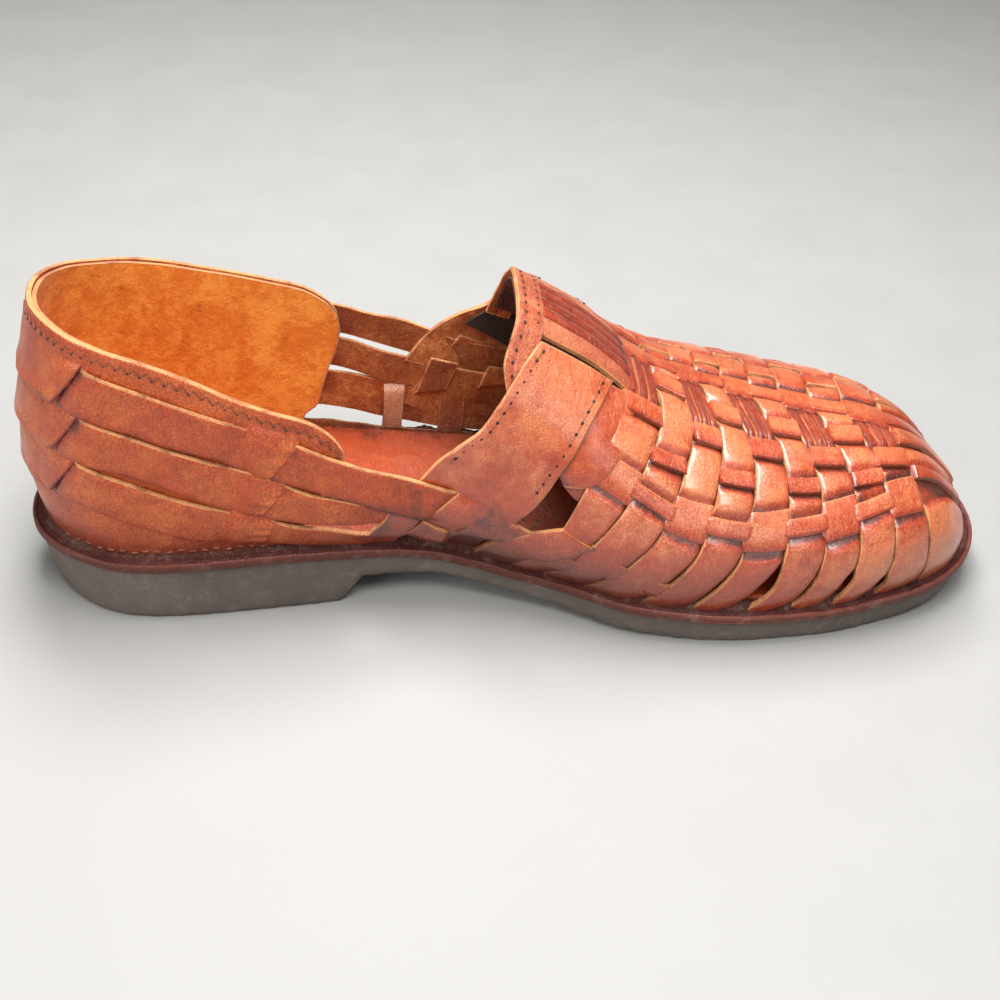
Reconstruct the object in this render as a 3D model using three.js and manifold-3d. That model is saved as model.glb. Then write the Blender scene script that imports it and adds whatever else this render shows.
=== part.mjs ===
// Left huarache sandal: woven leather slip-on on a rubber sole with a low heel.
// Millimetres. +X runs heel to toe, +Y is the lateral (outer) side, +Z is up.
// While it is being built, x = 0 is the back edge of the sole and z = 0 the floor.
// The last step moves the finished group so its box stands centred on the origin.
import * as THREE from 'three';
import { ParametricGeometry } from 'three/addons/geometries/ParametricGeometry.js';
import { mergeVertices } from 'three/addons/utils/BufferGeometryUtils.js';
import Module from 'manifold-3d';

const wasm = await Module();
wasm.setup();

// ---------------------------------------------------------------- sizes
const SOLE_LENGTH = 288;
const TOE_TIP_SIDEWAYS = -4;        // the toe's tip lies towards the medial side
const TOE_TURN_START = 200;         // where the plan begins to turn towards that tip
const HEEL_ROUND = 32;              // length over which the heel closes in plan
const TOE_ROUND = 64;               // length over which the toe closes in plan
const HEEL_ROUND_POWER = 2.1;
const TOE_ROUND_POWER = 2.2;

const MIDSOLE_THICK = 2.8;
const INSOLE_THICK = 2.5;
const JOINT_GAP = 0.3;              // clearance between pieces that lie on each other
const RUBBER_INSET = 1.2;           // the leather midsole stands proud of the rubber
const FEATHER_INSET = 4.5;          // welt showing outside the upper
const WALL = 2.4;                   // thickness of the woven leather upper

const HEEL_BREAST = 92;             // front edge of the heel on the floor
const HEEL_BREAST_SLOPE = 6;
const TREAD_CHAMFER = 1.2;
const HEEL_BACK_UNDERCUT = 5;       // rubber heel runs in towards the floor at the back

const UPPER_BACK = FEATHER_INSET;   // x of the upper's back at the feather line
const UPPER_FRONT = SOLE_LENGTH - FEATHER_INSET;
const CLOSE_SHORTER = 4;            // the upper closes in a little sooner than the sole
const TOE_BOX_ROUND = 40;           // length over which the crown falls at the toe
const SWELL_SHARE = 0.28;           // share of each section's steps below the swell

const STATIONS = 46;                // steps along the shoe
const ARCH_STEPS = 30;              // steps over each section of the upper
const FLOOR_STEPS = 4;              // steps across the underside of each section

// Plan of the sole: half widths either side of the centre line.
const PLAN = [
  { x: 0, medial: 31.0, lateral: 27.0 },
  { x: 12, medial: 32.0, lateral: 28.0 },
  { x: 40, medial: 36.4, lateral: 33.5 },
  { x: 80, medial: 32.5, lateral: 38.0 },
  { x: 115, medial: 27.6, lateral: 39.5 },
  { x: 150, medial: 36.0, lateral: 43.0 },
  { x: 180, medial: 49.0, lateral: 48.5 },
  { x: 205, medial: 52.3, lateral: 52.0 },
  { x: 230, medial: 49.6, lateral: 49.5 },
  { x: 255, medial: 46.1, lateral: 45.5 },
  { x: 274, medial: 46.2, lateral: 41.0 },
  { x: 288, medial: 46.0, lateral: 40.0 },
];

// Height of the welt (top of the midsole) and of the tread above the floor.
const WELT_HEIGHT = [
  { x: 0, z: 19.8 }, { x: 40, z: 20.5 }, { x: 75, z: 20.8 }, { x: 115, z: 17.6 },
  { x: 150, z: 13.0 }, { x: 190, z: 11.0 }, { x: 230, z: 10.4 }, { x: 260, z: 11.4 },
  { x: 288, z: 13.8 },
];
const TREAD_HEIGHT = [
  { x: 0, z: 0 }, { x: HEEL_BREAST, z: 0 }, { x: HEEL_BREAST + HEEL_BREAST_SLOPE, z: 8.2 },
  { x: 120, z: 7.8 }, { x: 150, z: 3.6 }, { x: 172, z: 1.0 }, { x: 192, z: 0 },
  { x: 242, z: 0 }, { x: 256, z: 0.7 }, { x: 268, z: 2.2 }, { x: 279, z: 4.8 },
  { x: 288, z: 8.0 },
];

// Sections of the last: half widths and height of the swell, height of the crown,
// both above the welt, where the crown lies sideways, and how square the arch is.
const LAST = [
  { x: 4, medial: 29.5, lateral: 27.5, swell: 26, crown: 118, crownY: -1.5, square: 2.6 },
  { x: 30, medial: 34.0, lateral: 31.0, swell: 26, crown: 118, crownY: -1.5, square: 2.6 },
  { x: 55, medial: 34.0, lateral: 32.0, swell: 25, crown: 112, crownY: -1.5, square: 2.6 },
  { x: 80, medial: 33.0, lateral: 33.0, swell: 23, crown: 100, crownY: -1.5, square: 2.6 },
  { x: 100, medial: 32.0, lateral: 34.5, swell: 22, crown: 92, crownY: -1.5, square: 2.6 },
  { x: 120, medial: 33.0, lateral: 37.0, swell: 21, crown: 84, crownY: -1.5, square: 2.6 },
  { x: 140, medial: 36.0, lateral: 40.0, swell: 20, crown: 76, crownY: -1.5, square: 2.6 },
  { x: 160, medial: 42.0, lateral: 43.5, swell: 18, crown: 65.5, crownY: -1.5, square: 2.5 },
  { x: 174, medial: 46.5, lateral: 46.0, swell: 16, crown: 56.0, crownY: -1.5, square: 2.4 },
  { x: 186, medial: 49.0, lateral: 48.0, swell: 15, crown: 50.0, crownY: -1.5, square: 2.3 },
  { x: 205, medial: 50.5, lateral: 49.5, swell: 14, crown: 45.0, crownY: -1.5, square: 2.3 },
  { x: 230, medial: 48.5, lateral: 47.5, swell: 13, crown: 40.0, crownY: -2.0, square: 2.3 },
  { x: 250, medial: 46.5, lateral: 44.5, swell: 12, crown: 37.0, crownY: -2.8, square: 2.3 },
  { x: 264, medial: 45.5, lateral: 42.5, swell: 11, crown: 34.5, crownY: -3.3, square: 2.3 },
  { x: 276, medial: 45.5, lateral: 41.0, swell: 10, crown: 29.0, crownY: -3.7, square: 2.2 },
  { x: 285, medial: 45.5, lateral: 40.0, swell: 9, crown: 25.0, crownY: -4.0, square: 2.2 },
];

// How far the heel counter stands forward of its feather line at each height.
const HEEL_LEAN = [
  { z: 0, forward: 0 }, { z: 12, forward: -2.6 }, { z: 26, forward: -4.2 },
  { z: 40, forward: -3.4 }, { z: 52, forward: -1.2 }, { z: 62, forward: 0.6 },
  { z: 72, forward: 3.0 }, { z: 110, forward: 7.0 },
];
const HEEL_LEAN_LENGTH = 60;

// Topline in side view, from the back of the heel to the throat.
const COUNTER_RIM = [
  [-30, 89.5], [8, 89.5], [20, 88], [32, 85.5], [46, 81.5], [61, 75.5], [76, 69.5], [86, 65],
];
const MEDIAL_TOPLINE = [
  [86, 65], [91, 61.5], [94.5, 55.5], [97, 52.4], [105, 49.6], [113, 46.6], [117.5, 46.6],
  [121, 50], [126, 56], [131, 62.4], [136, 69], [142, 77], [147, 84],
];
const LATERAL_TOPLINE = [
  [86, 65], [90, 63.4], [94, 61], [104, 58], [113, 54.6], [119, 53.6], [124, 56.6],
  [130, 63.4], [136, 70.6], [142, 77.6], [147, 84],
];
const THROAT_TOP = [150, 100];      // the side bands' top corners, where the instep slot starts

// Openings through the waist and the weave, as corners in side view (x, z).
const MEDIAL_GAPS = [
  [[86, 31.0], [101, 28.0], [101.5, 29.6], [87, 33.2]],
  [[82, 15], [100, 15], [100.5, 22.6], [83, 24.2]],
  [[141.5, 38.6], [144, 36.6], [152.5, 37.2], [157, 42.5], [160, 49.8], [152.5, 51.6], [147, 45.6]],
];
const LATERAL_GAPS = [
  [[89.5, 48.4], [113, 41.8], [108, 45.2], [90.5, 50.8]],
  [[87.5, 39.8], [104, 35.0], [113, 33.0], [110, 35.0], [88.5, 42.4]],
  [[83.5, 15], [103.5, 15], [103.5, 24.6], [85, 29.6]],
  [[109, 15], [119, 15], [119, 22.0], [109, 23.6]],
  [[141.5, 38.6], [144, 36.6], [152.5, 37.2], [157, 42.5], [160, 49.8], [152.5, 51.6], [147, 45.6]],
];
const TOE_HOLE = { y: -6, width: 17, height: 8, aboveWelt: 5.6 };

// Instep slot between the side bands, and the fluted tab that closes it.
const SLOT = [
  { x: 140, half: 25 }, { x: 150, half: 23.5 }, { x: 160, half: 20.5 }, { x: 168, half: 17.5 },
  { x: 172, half: 14 },
];
const SLOT_BACK = 140;
const SLOT_FRONT = 172;
const TAB_BACK = 138.5;
const TAB_FRONT = 179;
const TAB_SIDE_GAP = 2.2;           // elastic showing between the tab and the side band
const TAB_RISE = 2.4;               // tab above the wall's outer face
const TAB_BORDER_LENGTH = 8;        // folded rear border that runs down inside the bands
const TAB_BORDER_HALF = 31;
const TAB_LINING = 1.6;
const TAB_CLEAR = 0.6;              // clearance over and under the curved wall
const FLUTES = 6;
const FLUTE_PITCH = 4.4;
const FLUTE_WIDTH = 1.1;
const FLUTE_DEPTH = 0.9;
const INSTEP_LOW = 50;              // nothing of the tab or gores lies below this height
const GORE_BACK = 134;
const GORE_FRONT = 169;
const GORE_HALF = 37;
const GORE_THICK = 1.3;
const REACH = 130;                  // cutters run well past the shoe

// ---------------------------------------------------------------- curves
// Smooth curve through one column of a table that never overshoots its rows.
function through(table, key, value) {
  const x = table.map((row) => row[key]);
  const y = table.map((row) => row[value]);
  const last = x.length - 1;
  const rise = x.slice(1).map((_, i) => (y[i + 1] - y[i]) / (x[i + 1] - x[i]));
  const slope = x.map((_, i) => {
    if (i === 0) return rise[0];
    if (i === last) return rise[last - 1];
    if (rise[i - 1] * rise[i] <= 0) return 0;
    const before = x[i] - x[i - 1];
    const after = x[i + 1] - x[i];
    const heavy = 2 * after + before;
    const light = after + 2 * before;
    return (heavy + light) / (heavy / rise[i - 1] + light / rise[i]);
  });
  return (at) => {
    const p = THREE.MathUtils.clamp(at, x[0], x[last]);
    let i = 0;
    while (i < last - 1 && p > x[i + 1]) i += 1;
    const span = x[i + 1] - x[i];
    const t = (p - x[i]) / span;
    const a = (1 + 2 * t) * (1 - t) ** 2 * y[i] + t * (1 - t) ** 2 * span * slope[i];
    const b = t * t * (3 - 2 * t) * y[i + 1] + t * t * (t - 1) * span * slope[i + 1];
    return a + b;
  };
}

// Straight lines from row to row.
function straight(table, key, value) {
  return (at) => {
    let i = 1;
    while (i < table.length - 1 && at > table[i][key]) i += 1;
    const [first, second] = [table[i - 1], table[i]];
    const t = THREE.MathUtils.clamp((at - first[key]) / (second[key] - first[key]), 0, 1);
    return first[value] + t * (second[value] - first[value]);
  };
}

const planMedial = through(PLAN, 'x', 'medial');
const planLateral = through(PLAN, 'x', 'lateral');
const weltHeight = through(WELT_HEIGHT, 'x', 'z');
const treadHeight = straight(TREAD_HEIGHT, 'x', 'z');
const heelLean = through(HEEL_LEAN, 'z', 'forward');
const slotHalf = through(SLOT, 'x', 'half');
const last = {
  medial: through(LAST, 'x', 'medial'),
  lateral: through(LAST, 'x', 'lateral'),
  swell: through(LAST, 'x', 'swell'),
  crown: through(LAST, 'x', 'crown'),
  crownY: through(LAST, 'x', 'crownY'),
  square: through(LAST, 'x', 'square'),
};

const roundEnd = (t, power) => (1 - (1 - THREE.MathUtils.clamp(t, 0, 1)) ** power) ** (1 / power);

// Share of the full width at x for a plan that closes at both ends.
function closing(x, back, front, heelRound, toeRound) {
  return roundEnd((x - back) / heelRound, HEEL_ROUND_POWER)
    * roundEnd((front - x) / toeRound, TOE_ROUND_POWER);
}

const toeTurn = (x) => TOE_TIP_SIDEWAYS
  * THREE.MathUtils.smoothstep(x, TOE_TURN_START, SOLE_LENGTH);

// Edge of the sole's plan at x on one side (-1 medial, +1 lateral), drawn in by inset.
function planEdge(x, side, inset) {
  const at = THREE.MathUtils.clamp(x, inset, SOLE_LENGTH - inset);
  const width = (side < 0 ? planMedial(at) : planLateral(at)) - inset;
  const share = closing(at, inset, SOLE_LENGTH - inset, HEEL_ROUND - inset, TOE_ROUND - inset);
  return toeTurn(at) + side * width * share;
}

// Stations bunched towards both ends, so the round heel and toe stay smooth.
const bunched = (u, from, to) => from + ((to - from) * (1 - Math.cos(Math.PI * u))) / 2;

// ---------------------------------------------------------------- solids
function solid(geometry) {
  const bare = geometry.clone();
  bare.deleteAttribute('normal');
  bare.deleteAttribute('uv');
  const merged = mergeVertices(bare, 1e-4);
  const kept = [];
  const corners = merged.index.array;
  for (let i = 0; i < corners.length; i += 3) {
    const [a, b, c] = [corners[i], corners[i + 1], corners[i + 2]];
    if (a !== b && b !== c && c !== a) kept.push(a, b, c);
  }
  return new wasm.Manifold(new wasm.Mesh({
    numProp: 3,
    vertProperties: new Float32Array(merged.attributes.position.array),
    triVerts: new Uint32Array(kept),
  }));
}

function geometryOf(body) {
  const mesh = body.getMesh();
  const geometry = new THREE.BufferGeometry();
  geometry.setAttribute('position', new THREE.BufferAttribute(new Float32Array(mesh.vertProperties), 3));
  geometry.setIndex(new THREE.BufferAttribute(new Uint32Array(mesh.triVerts), 1));
  return geometry;
}

// A body from rings of points: ring(u) gives one closed section at each station.
function lofted(ring, stations, around, flip) {
  const rings = Array.from({ length: stations + 1 }, (_, i) => ring(i / stations, around));
  const geometry = new ParametricGeometry((v, u, target) => {
    const section = rings[Math.round(u * stations)];
    target.copy(section[Math.round(v * around) % around]);
  }, around, stations);
  if (flip) geometry.index.array.reverse();
  return solid(geometry);
}

// Side-view outline pushed across the shoe from one y to another.
function acrossShoe(outline, fromY, toY) {
  const shape = new THREE.Shape(outline.map(([x, z]) => new THREE.Vector2(x, z)));
  const slab = new THREE.ExtrudeGeometry(shape, { depth: toY - fromY, bevelEnabled: false });
  slab.rotateX(Math.PI / 2);
  slab.translate(0, toY, 0);
  return solid(slab);
}

// Plan-view outline pushed straight up.
function upright(outline, height = REACH) {
  const shape = new THREE.Shape(outline.map(([x, y]) => new THREE.Vector2(x, y)));
  return solid(new THREE.ExtrudeGeometry(shape, { depth: height, bevelEnabled: false }));
}

// Rounds the corners of a side-view opening.
function softened(corners, steps = 5) {
  const bow = new THREE.CatmullRomCurve3(
    corners.map(([x, z]) => new THREE.Vector3(x, z, 0)), true, 'catmullrom', 0.25,
  );
  return bow.getPoints(corners.length * steps).slice(0, -1).map((p) => [p.x, p.y]);
}

// ---------------------------------------------------------------- last
// Point on the last: t runs 0 at the feather line to 1 at the crown on one side.
function lastPoint(x, side, t, inset, drop) {
  const at = THREE.MathUtils.clamp(x, UPPER_BACK + inset, UPPER_FRONT - inset);
  const share = closing(
    at, UPPER_BACK + inset, UPPER_FRONT - inset,
    HEEL_ROUND - CLOSE_SHORTER - inset, TOE_ROUND - CLOSE_SHORTER - inset,
  );
  const floor = weltHeight(at) + JOINT_GAP;
  const fall = THREE.MathUtils.clamp((UPPER_FRONT - inset - at) / (TOE_BOX_ROUND - inset), 0, 1);
  const crown = (last.crown(at) - inset) * roundEnd(fall, 2);
  const swell = Math.min(last.swell(at), 0.42 * crown);
  const wide = toeTurn(at) + side * ((side < 0 ? last.medial(at) : last.lateral(at)) - inset) * share;
  const feather = planEdge(at, side, FEATHER_INSET + inset);
  const crownY = last.crownY(at);
  let y;
  let z;
  if (t < SWELL_SHARE) {
    const up = t / SWELL_SHARE;
    y = wide - (wide - feather) * (1 - up) ** 2;
    z = floor + swell * up;
    if (t === 0) z -= drop;
  } else {
    const turn = ((t - SWELL_SHARE) / (1 - SWELL_SHARE)) * (Math.PI / 2);
    const power = 2 / last.square(at);
    y = crownY + (wide - crownY) * Math.cos(turn) ** power;
    z = floor + swell + (crown - swell) * Math.sin(turn) ** power;
  }
  const fade = THREE.MathUtils.clamp(1 - (at - UPPER_BACK) / HEEL_LEAN_LENGTH, 0, 1) ** 2;
  return new THREE.Vector3(at + heelLean(Math.max(0, z - floor)) * fade, y, z);
}

// Solid last, drawn in by inset (or let out when negative) and dropped below the welt.
function lastBody(inset, drop = 0) {
  const around = ARCH_STEPS + FLOOR_STEPS;
  const ring = (u) => {
    const x = bunched(u, UPPER_BACK + inset, UPPER_FRONT - inset);
    const section = [];
    for (let i = 0; i <= ARCH_STEPS; i += 1) {
      const phi = i / ARCH_STEPS;
      const side = phi <= 0.5 ? -1 : 1;
      const t = 1 - Math.abs(1 - 2 * phi);
      section.push(lastPoint(x, side, t, inset, drop));
    }
    const from = section[ARCH_STEPS];
    const to = section[0];
    for (let i = 1; i < FLOOR_STEPS; i += 1) {
      section.push(from.clone().lerp(to, i / FLOOR_STEPS));
    }
    if (u === 0 || u === 1) {
      section.forEach((p, i) => {
        if (i > ARCH_STEPS / 2 && i <= ARCH_STEPS) p.copy(section[ARCH_STEPS - i]);
        if (i > ARCH_STEPS) p.copy(section[0]);
      });
    }
    return section;
  };
  return lofted(ring, STATIONS, around, true);
}

const skinBetween = (outer, inner) => lastBody(outer).subtract(lastBody(inner, 3));

// ---------------------------------------------------------------- upper
// Everything above the topline: one cut over the heel, and one for each side of the waist.
function toplineCutter() {
  const high = REACH + 60;
  const clearOfSides = [[89, 78], [THROAT_TOP[0], 78], [THROAT_TOP[0], high], [-30, high]];
  const over = acrossShoe([...COUNTER_RIM, ...clearOfSides], -REACH, REACH);
  const sideOutline = (topline) => [...topline, THROAT_TOP, [THROAT_TOP[0], high], [84, high]];
  const medial = acrossShoe(sideOutline(MEDIAL_TOPLINE), -REACH, -5);
  const lateral = acrossShoe(sideOutline(LATERAL_TOPLINE), 5, REACH);
  return over.add(medial).add(lateral);
}

// Plan of the instep slot between two stations, its sides drawn in by less.
function slotPlan(from, to, less, steps = 10) {
  const edge = Array.from({ length: steps + 1 }, (_, i) => {
    const x = from + ((to - from) * i) / steps;
    return [x, slotHalf(x) - less];
  });
  return [...edge, ...edge.map(([x, y]) => [x, -y]).reverse()];
}

function buildUpper() {
  let upper = skinBetween(0, WALL).subtract(toplineCutter());
  upper = upper.subtract(upright(slotPlan(SLOT_BACK, SLOT_FRONT, 0), REACH + 60));
  MEDIAL_GAPS.forEach((gap) => {
    upper = upper.subtract(acrossShoe(softened(gap), -REACH, 0));
  });
  LATERAL_GAPS.forEach((gap) => {
    upper = upper.subtract(acrossShoe(softened(gap), 0, REACH));
  });
  const hole = new THREE.CylinderGeometry(TOE_HOLE.height / 2, TOE_HOLE.height / 2, 40, 20);
  hole.rotateZ(Math.PI / 2);
  hole.scale(1, TOE_HOLE.width / TOE_HOLE.height, 1);
  hole.translate(UPPER_FRONT, TOE_HOLE.y, weltHeight(SOLE_LENGTH) + TOE_HOLE.aboveWelt);
  return upper.subtract(solid(hole));
}

// ---------------------------------------------------------------- soles
// Flat-lying layer between two heights, with its plan drawn in at top and bottom.
function layer(topZ, bottomZ, topInset, bottomInset, extraStations, columns = 4) {
  const even = Array.from({ length: STATIONS + 1 }, (_, i) => bunched(i / STATIONS, 0, SOLE_LENGTH));
  const stations = [...even, ...extraStations].sort((a, b) => a - b);
  const around = 2 * (columns + 1) + 2;
  const edgeZ = (x) => Math.min(bottomZ(x) + TREAD_CHAMFER, topZ(x) - TREAD_CHAMFER);
  const point = (x, share, z, inset) => {
    const at = inset + (x * (SOLE_LENGTH - 2 * inset)) / SOLE_LENGTH;
    const low = planEdge(at, -1, inset);
    const high = planEdge(at, 1, inset);
    return new THREE.Vector3(at, low + (high - low) * share, z(at));
  };
  const ring = (u) => {
    const x = stations[Math.round(u * (stations.length - 1))];
    const section = [];
    for (let i = 0; i <= columns; i += 1) section.push(point(x, i / columns, bottomZ, bottomInset(x)));
    section.push(point(x, 1, edgeZ, topInset(x)));
    for (let i = columns; i >= 0; i -= 1) section.push(point(x, i / columns, topZ, topInset(x)));
    section.push(point(x, 0, edgeZ, topInset(x)));
    return section;
  };
  return lofted(ring, stations.length - 1, around, false);
}

function buildOutsole() {
  const top = (x) => weltHeight(x) - MIDSOLE_THICK - JOINT_GAP;
  const undercut = (x) => RUBBER_INSET + 0.8
    + HEEL_BACK_UNDERCUT * (1 - THREE.MathUtils.smoothstep(x, 0, 30));
  const breast = [HEEL_BREAST, HEEL_BREAST + HEEL_BREAST_SLOPE];
  return layer(top, treadHeight, () => RUBBER_INSET, undercut, breast, 6);
}

function buildMidsole() {
  const bottom = (x) => weltHeight(x) - MIDSOLE_THICK;
  return layer(weltHeight, bottom, () => 0, () => 0.6, []);
}

function buildInsole() {
  const inset = () => FEATHER_INSET + WALL + JOINT_GAP;
  const bottom = (x) => weltHeight(x) + JOINT_GAP;
  const top = (x) => weltHeight(x) + JOINT_GAP + INSOLE_THICK;
  return layer(top, bottom, inset, () => FEATHER_INSET + WALL + 2 * JOINT_GAP, []);
}

// ---------------------------------------------------------------- instep
// Everything at the height of the instep, clear of the walls down by the sole.
const instepSpace = () => acrossShoe(
  [[GORE_BACK - 5, INSTEP_LOW], [TAB_FRONT, INSTEP_LOW], [TAB_FRONT, REACH], [GORE_BACK - 5, REACH]],
  -REACH, REACH,
);
function buildTab() {
  const deep = skinBetween(-TAB_RISE, WALL - TAB_CLEAR)
    .intersect(upright(slotPlan(TAB_BACK, SLOT_FRONT - 1, TAB_SIDE_GAP)));
  const proud = skinBetween(-TAB_RISE, -TAB_CLEAR)
    .intersect(upright(slotPlan(TAB_BACK, TAB_FRONT, TAB_SIDE_GAP + 1)));
  const borderEnd = TAB_BACK + TAB_BORDER_LENGTH;
  const border = skinBetween(WALL + TAB_CLEAR, WALL + TAB_CLEAR + TAB_LINING).intersect(upright([
    [TAB_BACK, -TAB_BORDER_HALF], [borderEnd, -TAB_BORDER_HALF],
    [borderEnd, TAB_BORDER_HALF - 4], [TAB_BACK, TAB_BORDER_HALF - 4],
  ])).intersect(instepSpace());
  const root = skinBetween(-TAB_RISE, WALL + TAB_CLEAR + TAB_LINING)
    .intersect(upright(slotPlan(TAB_BACK, borderEnd, TAB_SIDE_GAP)));
  let tab = deep.add(proud).add(border).add(root);
  const grooved = lastBody(-TAB_RISE - 5).subtract(lastBody(-TAB_RISE + FLUTE_DEPTH));
  for (let i = 0; i < FLUTES; i += 1) {
    const y = (i - (FLUTES - 1) / 2) * FLUTE_PITCH;
    const taper = 0.72;
    const groove = upright([
      [borderEnd, y - FLUTE_WIDTH / 2], [TAB_FRONT + 5, y * taper - FLUTE_WIDTH / 2],
      [TAB_FRONT + 5, y * taper + FLUTE_WIDTH / 2], [borderEnd, y + FLUTE_WIDTH / 2],
    ], REACH);
    tab = tab.subtract(groove.intersect(grooved));
  }
  return tab;
}

function buildGore(side) {
  const skin = skinBetween(WALL + TAB_CLEAR, WALL + TAB_CLEAR + GORE_THICK);
  const borderEnd = TAB_BACK + TAB_BORDER_LENGTH + JOINT_GAP;
  const borderHalf = (side < 0 ? TAB_BORDER_HALF : TAB_BORDER_HALF - 4) + JOINT_GAP;
  const outline = [
    [GORE_BACK, borderHalf], [borderEnd, borderHalf], [borderEnd, 9],
    [GORE_FRONT, 9], [GORE_FRONT, GORE_HALF - 8], [GORE_BACK + 8, GORE_HALF],
  ].map(([x, y]) => [x, side * y]);
  const shape = side < 0 ? outline.reverse() : outline;
  return skin.intersect(upright(shape)).intersect(instepSpace());
}

// ---------------------------------------------------------------- group
function named(name, body, colour, roughness) {
  const material = new THREE.MeshStandardMaterial({ color: colour, roughness, metalness: 0 });
  material.name = name;
  const mesh = new THREE.Mesh(geometryOf(body), material);
  mesh.name = name;
  return mesh;
}

const shoe = new THREE.Group();
shoe.name = 'huarache_sandal_left';
shoe.add(named('outsole', buildOutsole(), 0x6b675f, 0.85));
shoe.add(named('midsole', buildMidsole(), 0x7a3a30, 0.6));
shoe.add(named('insole', buildInsole(), 0xa8482a, 0.6));
shoe.add(named('upper', buildUpper(), 0xb0552f, 0.45));
shoe.add(named('instep_tab', buildTab(), 0xa34a2e, 0.45));
shoe.add(named('gore_medial', buildGore(-1), 0x2a2624, 0.9));
shoe.add(named('gore_lateral', buildGore(1), 0x2a2624, 0.9));

const box = new THREE.Box3();
shoe.children.forEach((mesh) => {
  mesh.geometry.computeBoundingBox();
  box.union(mesh.geometry.boundingBox);
});
const middle = box.getCenter(new THREE.Vector3());
shoe.children.forEach((mesh) => {
  mesh.geometry.translate(-middle.x, -middle.y, -box.min.z);
  mesh.geometry.computeVertexNormals();
});

export default shoe;
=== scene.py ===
"""A woven leather huarache sandal for the left foot, built piece by piece over the shape of its last.

Every sheet of leather is a grid of points given in one of two maps of the last:
  over the arch   (x, b): x runs heel to toe, b is the girth walked from the crown line, medial negative;
  round the wall  (s, z): s is the girth walked round the heel from its back, medial negative, z the height.
The grid is raised along the last's own normal, so a sheet bends with the foot. Working sizes are millimetres.
"""

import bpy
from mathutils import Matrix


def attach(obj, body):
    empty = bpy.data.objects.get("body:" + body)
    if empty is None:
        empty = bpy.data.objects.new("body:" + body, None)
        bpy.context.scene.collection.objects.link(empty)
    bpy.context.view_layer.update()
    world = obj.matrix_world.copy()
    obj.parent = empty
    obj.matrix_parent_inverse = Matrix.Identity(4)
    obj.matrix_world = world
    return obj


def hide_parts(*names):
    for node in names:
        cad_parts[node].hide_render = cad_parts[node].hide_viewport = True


bl_info = {
    "name": "Woven huarache sandal",
    "version": (1, 0, 0),
    "blender": (4, 5, 0),
    "location": "3D View > Sidebar > Sandal",
    "description": "Builds a woven leather sandal, strap by strap, over the shape of its last",
    "category": "Object",
}

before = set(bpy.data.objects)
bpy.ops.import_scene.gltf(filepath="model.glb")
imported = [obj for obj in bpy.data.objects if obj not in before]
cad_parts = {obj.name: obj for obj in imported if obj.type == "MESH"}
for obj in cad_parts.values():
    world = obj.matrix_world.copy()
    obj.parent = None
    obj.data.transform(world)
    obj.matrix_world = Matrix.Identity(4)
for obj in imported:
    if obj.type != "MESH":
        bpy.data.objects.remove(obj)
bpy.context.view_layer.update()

import math

import bpy
import numpy as np
from bpy.props import FloatProperty, FloatVectorProperty, PointerProperty
from mathutils import Matrix, Vector

MM = 0.001
MIDDLE_X = 144.0                    # the shared frame's origin, measured from the heel's back edge
MIDDLE_Y = -0.19
SOLE_LENGTH = 288.0
FEATHER = 4.5                       # the upper meets the sole this far in from the welt's edge
MIDSOLE_THICK = 2.8
INSOLE_THICK = 2.5
GLUE_LINE = 0.3                     # the last and the insole stand this far over the welt
TUCK = 3.0                          # how far a strip is let down past the feather
MEDIAL, LATERAL = SIDES = (-1.0, 1.0)
SWELL_SHARE = 0.28                  # share of a section's height, from the feather, at its widest line
FLAP_THICK = 1.3                    # the counter's flaps, its lining and the plates of the outer rows
COUNTER_THICK = 1.5
SOLE_STEPS = 300                    # stations along the rubber's and the welt's edges

# -------------------- tables of the last
# x, half width on the medial side, half width on the lateral side: the welt's outline
PLAN = np.array([
    (0, 31.0, 27.0), (12, 32.0, 28.0), (40, 36.4, 33.5), (80, 32.5, 38.0), (115, 27.6, 39.5),
    (150, 36.0, 43.0), (180, 49.0, 48.5), (205, 52.3, 52.0), (230, 49.6, 49.5), (255, 46.1, 45.5),
    (274, 46.2, 41.0), (288, 46.0, 40.0)])
# x, height of the welt's top
WELT = np.array([
    (0, 19.8), (40, 20.5), (75, 20.8), (115, 17.6), (150, 13.0), (190, 11.0), (230, 10.4),
    (260, 11.4), (288, 13.8)])
# x, height of the rubber's underside
TREAD = np.array([
    (0, 0.0), (92, 0.0), (98, 8.2), (120, 7.8), (150, 3.6), (172, 1.0), (192, 0.0), (242, 0.0),
    (256, 0.7), (268, 2.2), (279, 4.8), (288, 8.0)])
# x, medial half, lateral half, swell height, crown height, crown y, squareness
LAST = np.array([
    (4, 29.5, 27.5, 26, 118, -1.5, 2.6), (30, 34.0, 31.0, 26, 118, -1.5, 2.6),
    (55, 34.0, 32.0, 25, 112, -1.5, 2.6), (80, 33.0, 33.0, 23, 100, -1.5, 2.6),
    (100, 32.0, 34.5, 22, 92, -1.5, 2.6), (120, 33.0, 37.0, 21, 84, -1.5, 2.6),
    (140, 36.0, 40.0, 20, 76, -1.5, 2.6), (160, 42.0, 43.5, 18, 65.5, -1.5, 2.5),
    (174, 46.5, 46.0, 16, 56.0, -1.5, 2.4), (186, 49.0, 48.0, 15, 50.0, -1.5, 2.3),
    (205, 50.5, 49.5, 14, 45.0, -1.5, 2.3), (230, 48.5, 47.5, 13, 40.0, -2.0, 2.3),
    (250, 46.5, 44.5, 12, 37.0, -2.8, 2.3), (264, 45.5, 42.5, 11, 34.5, -3.3, 2.3),
    (276, 45.5, 41.0, 10, 29.0, -3.7, 2.2), (285, 45.5, 40.0, 9, 25.0, -4.0, 2.2)])
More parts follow.
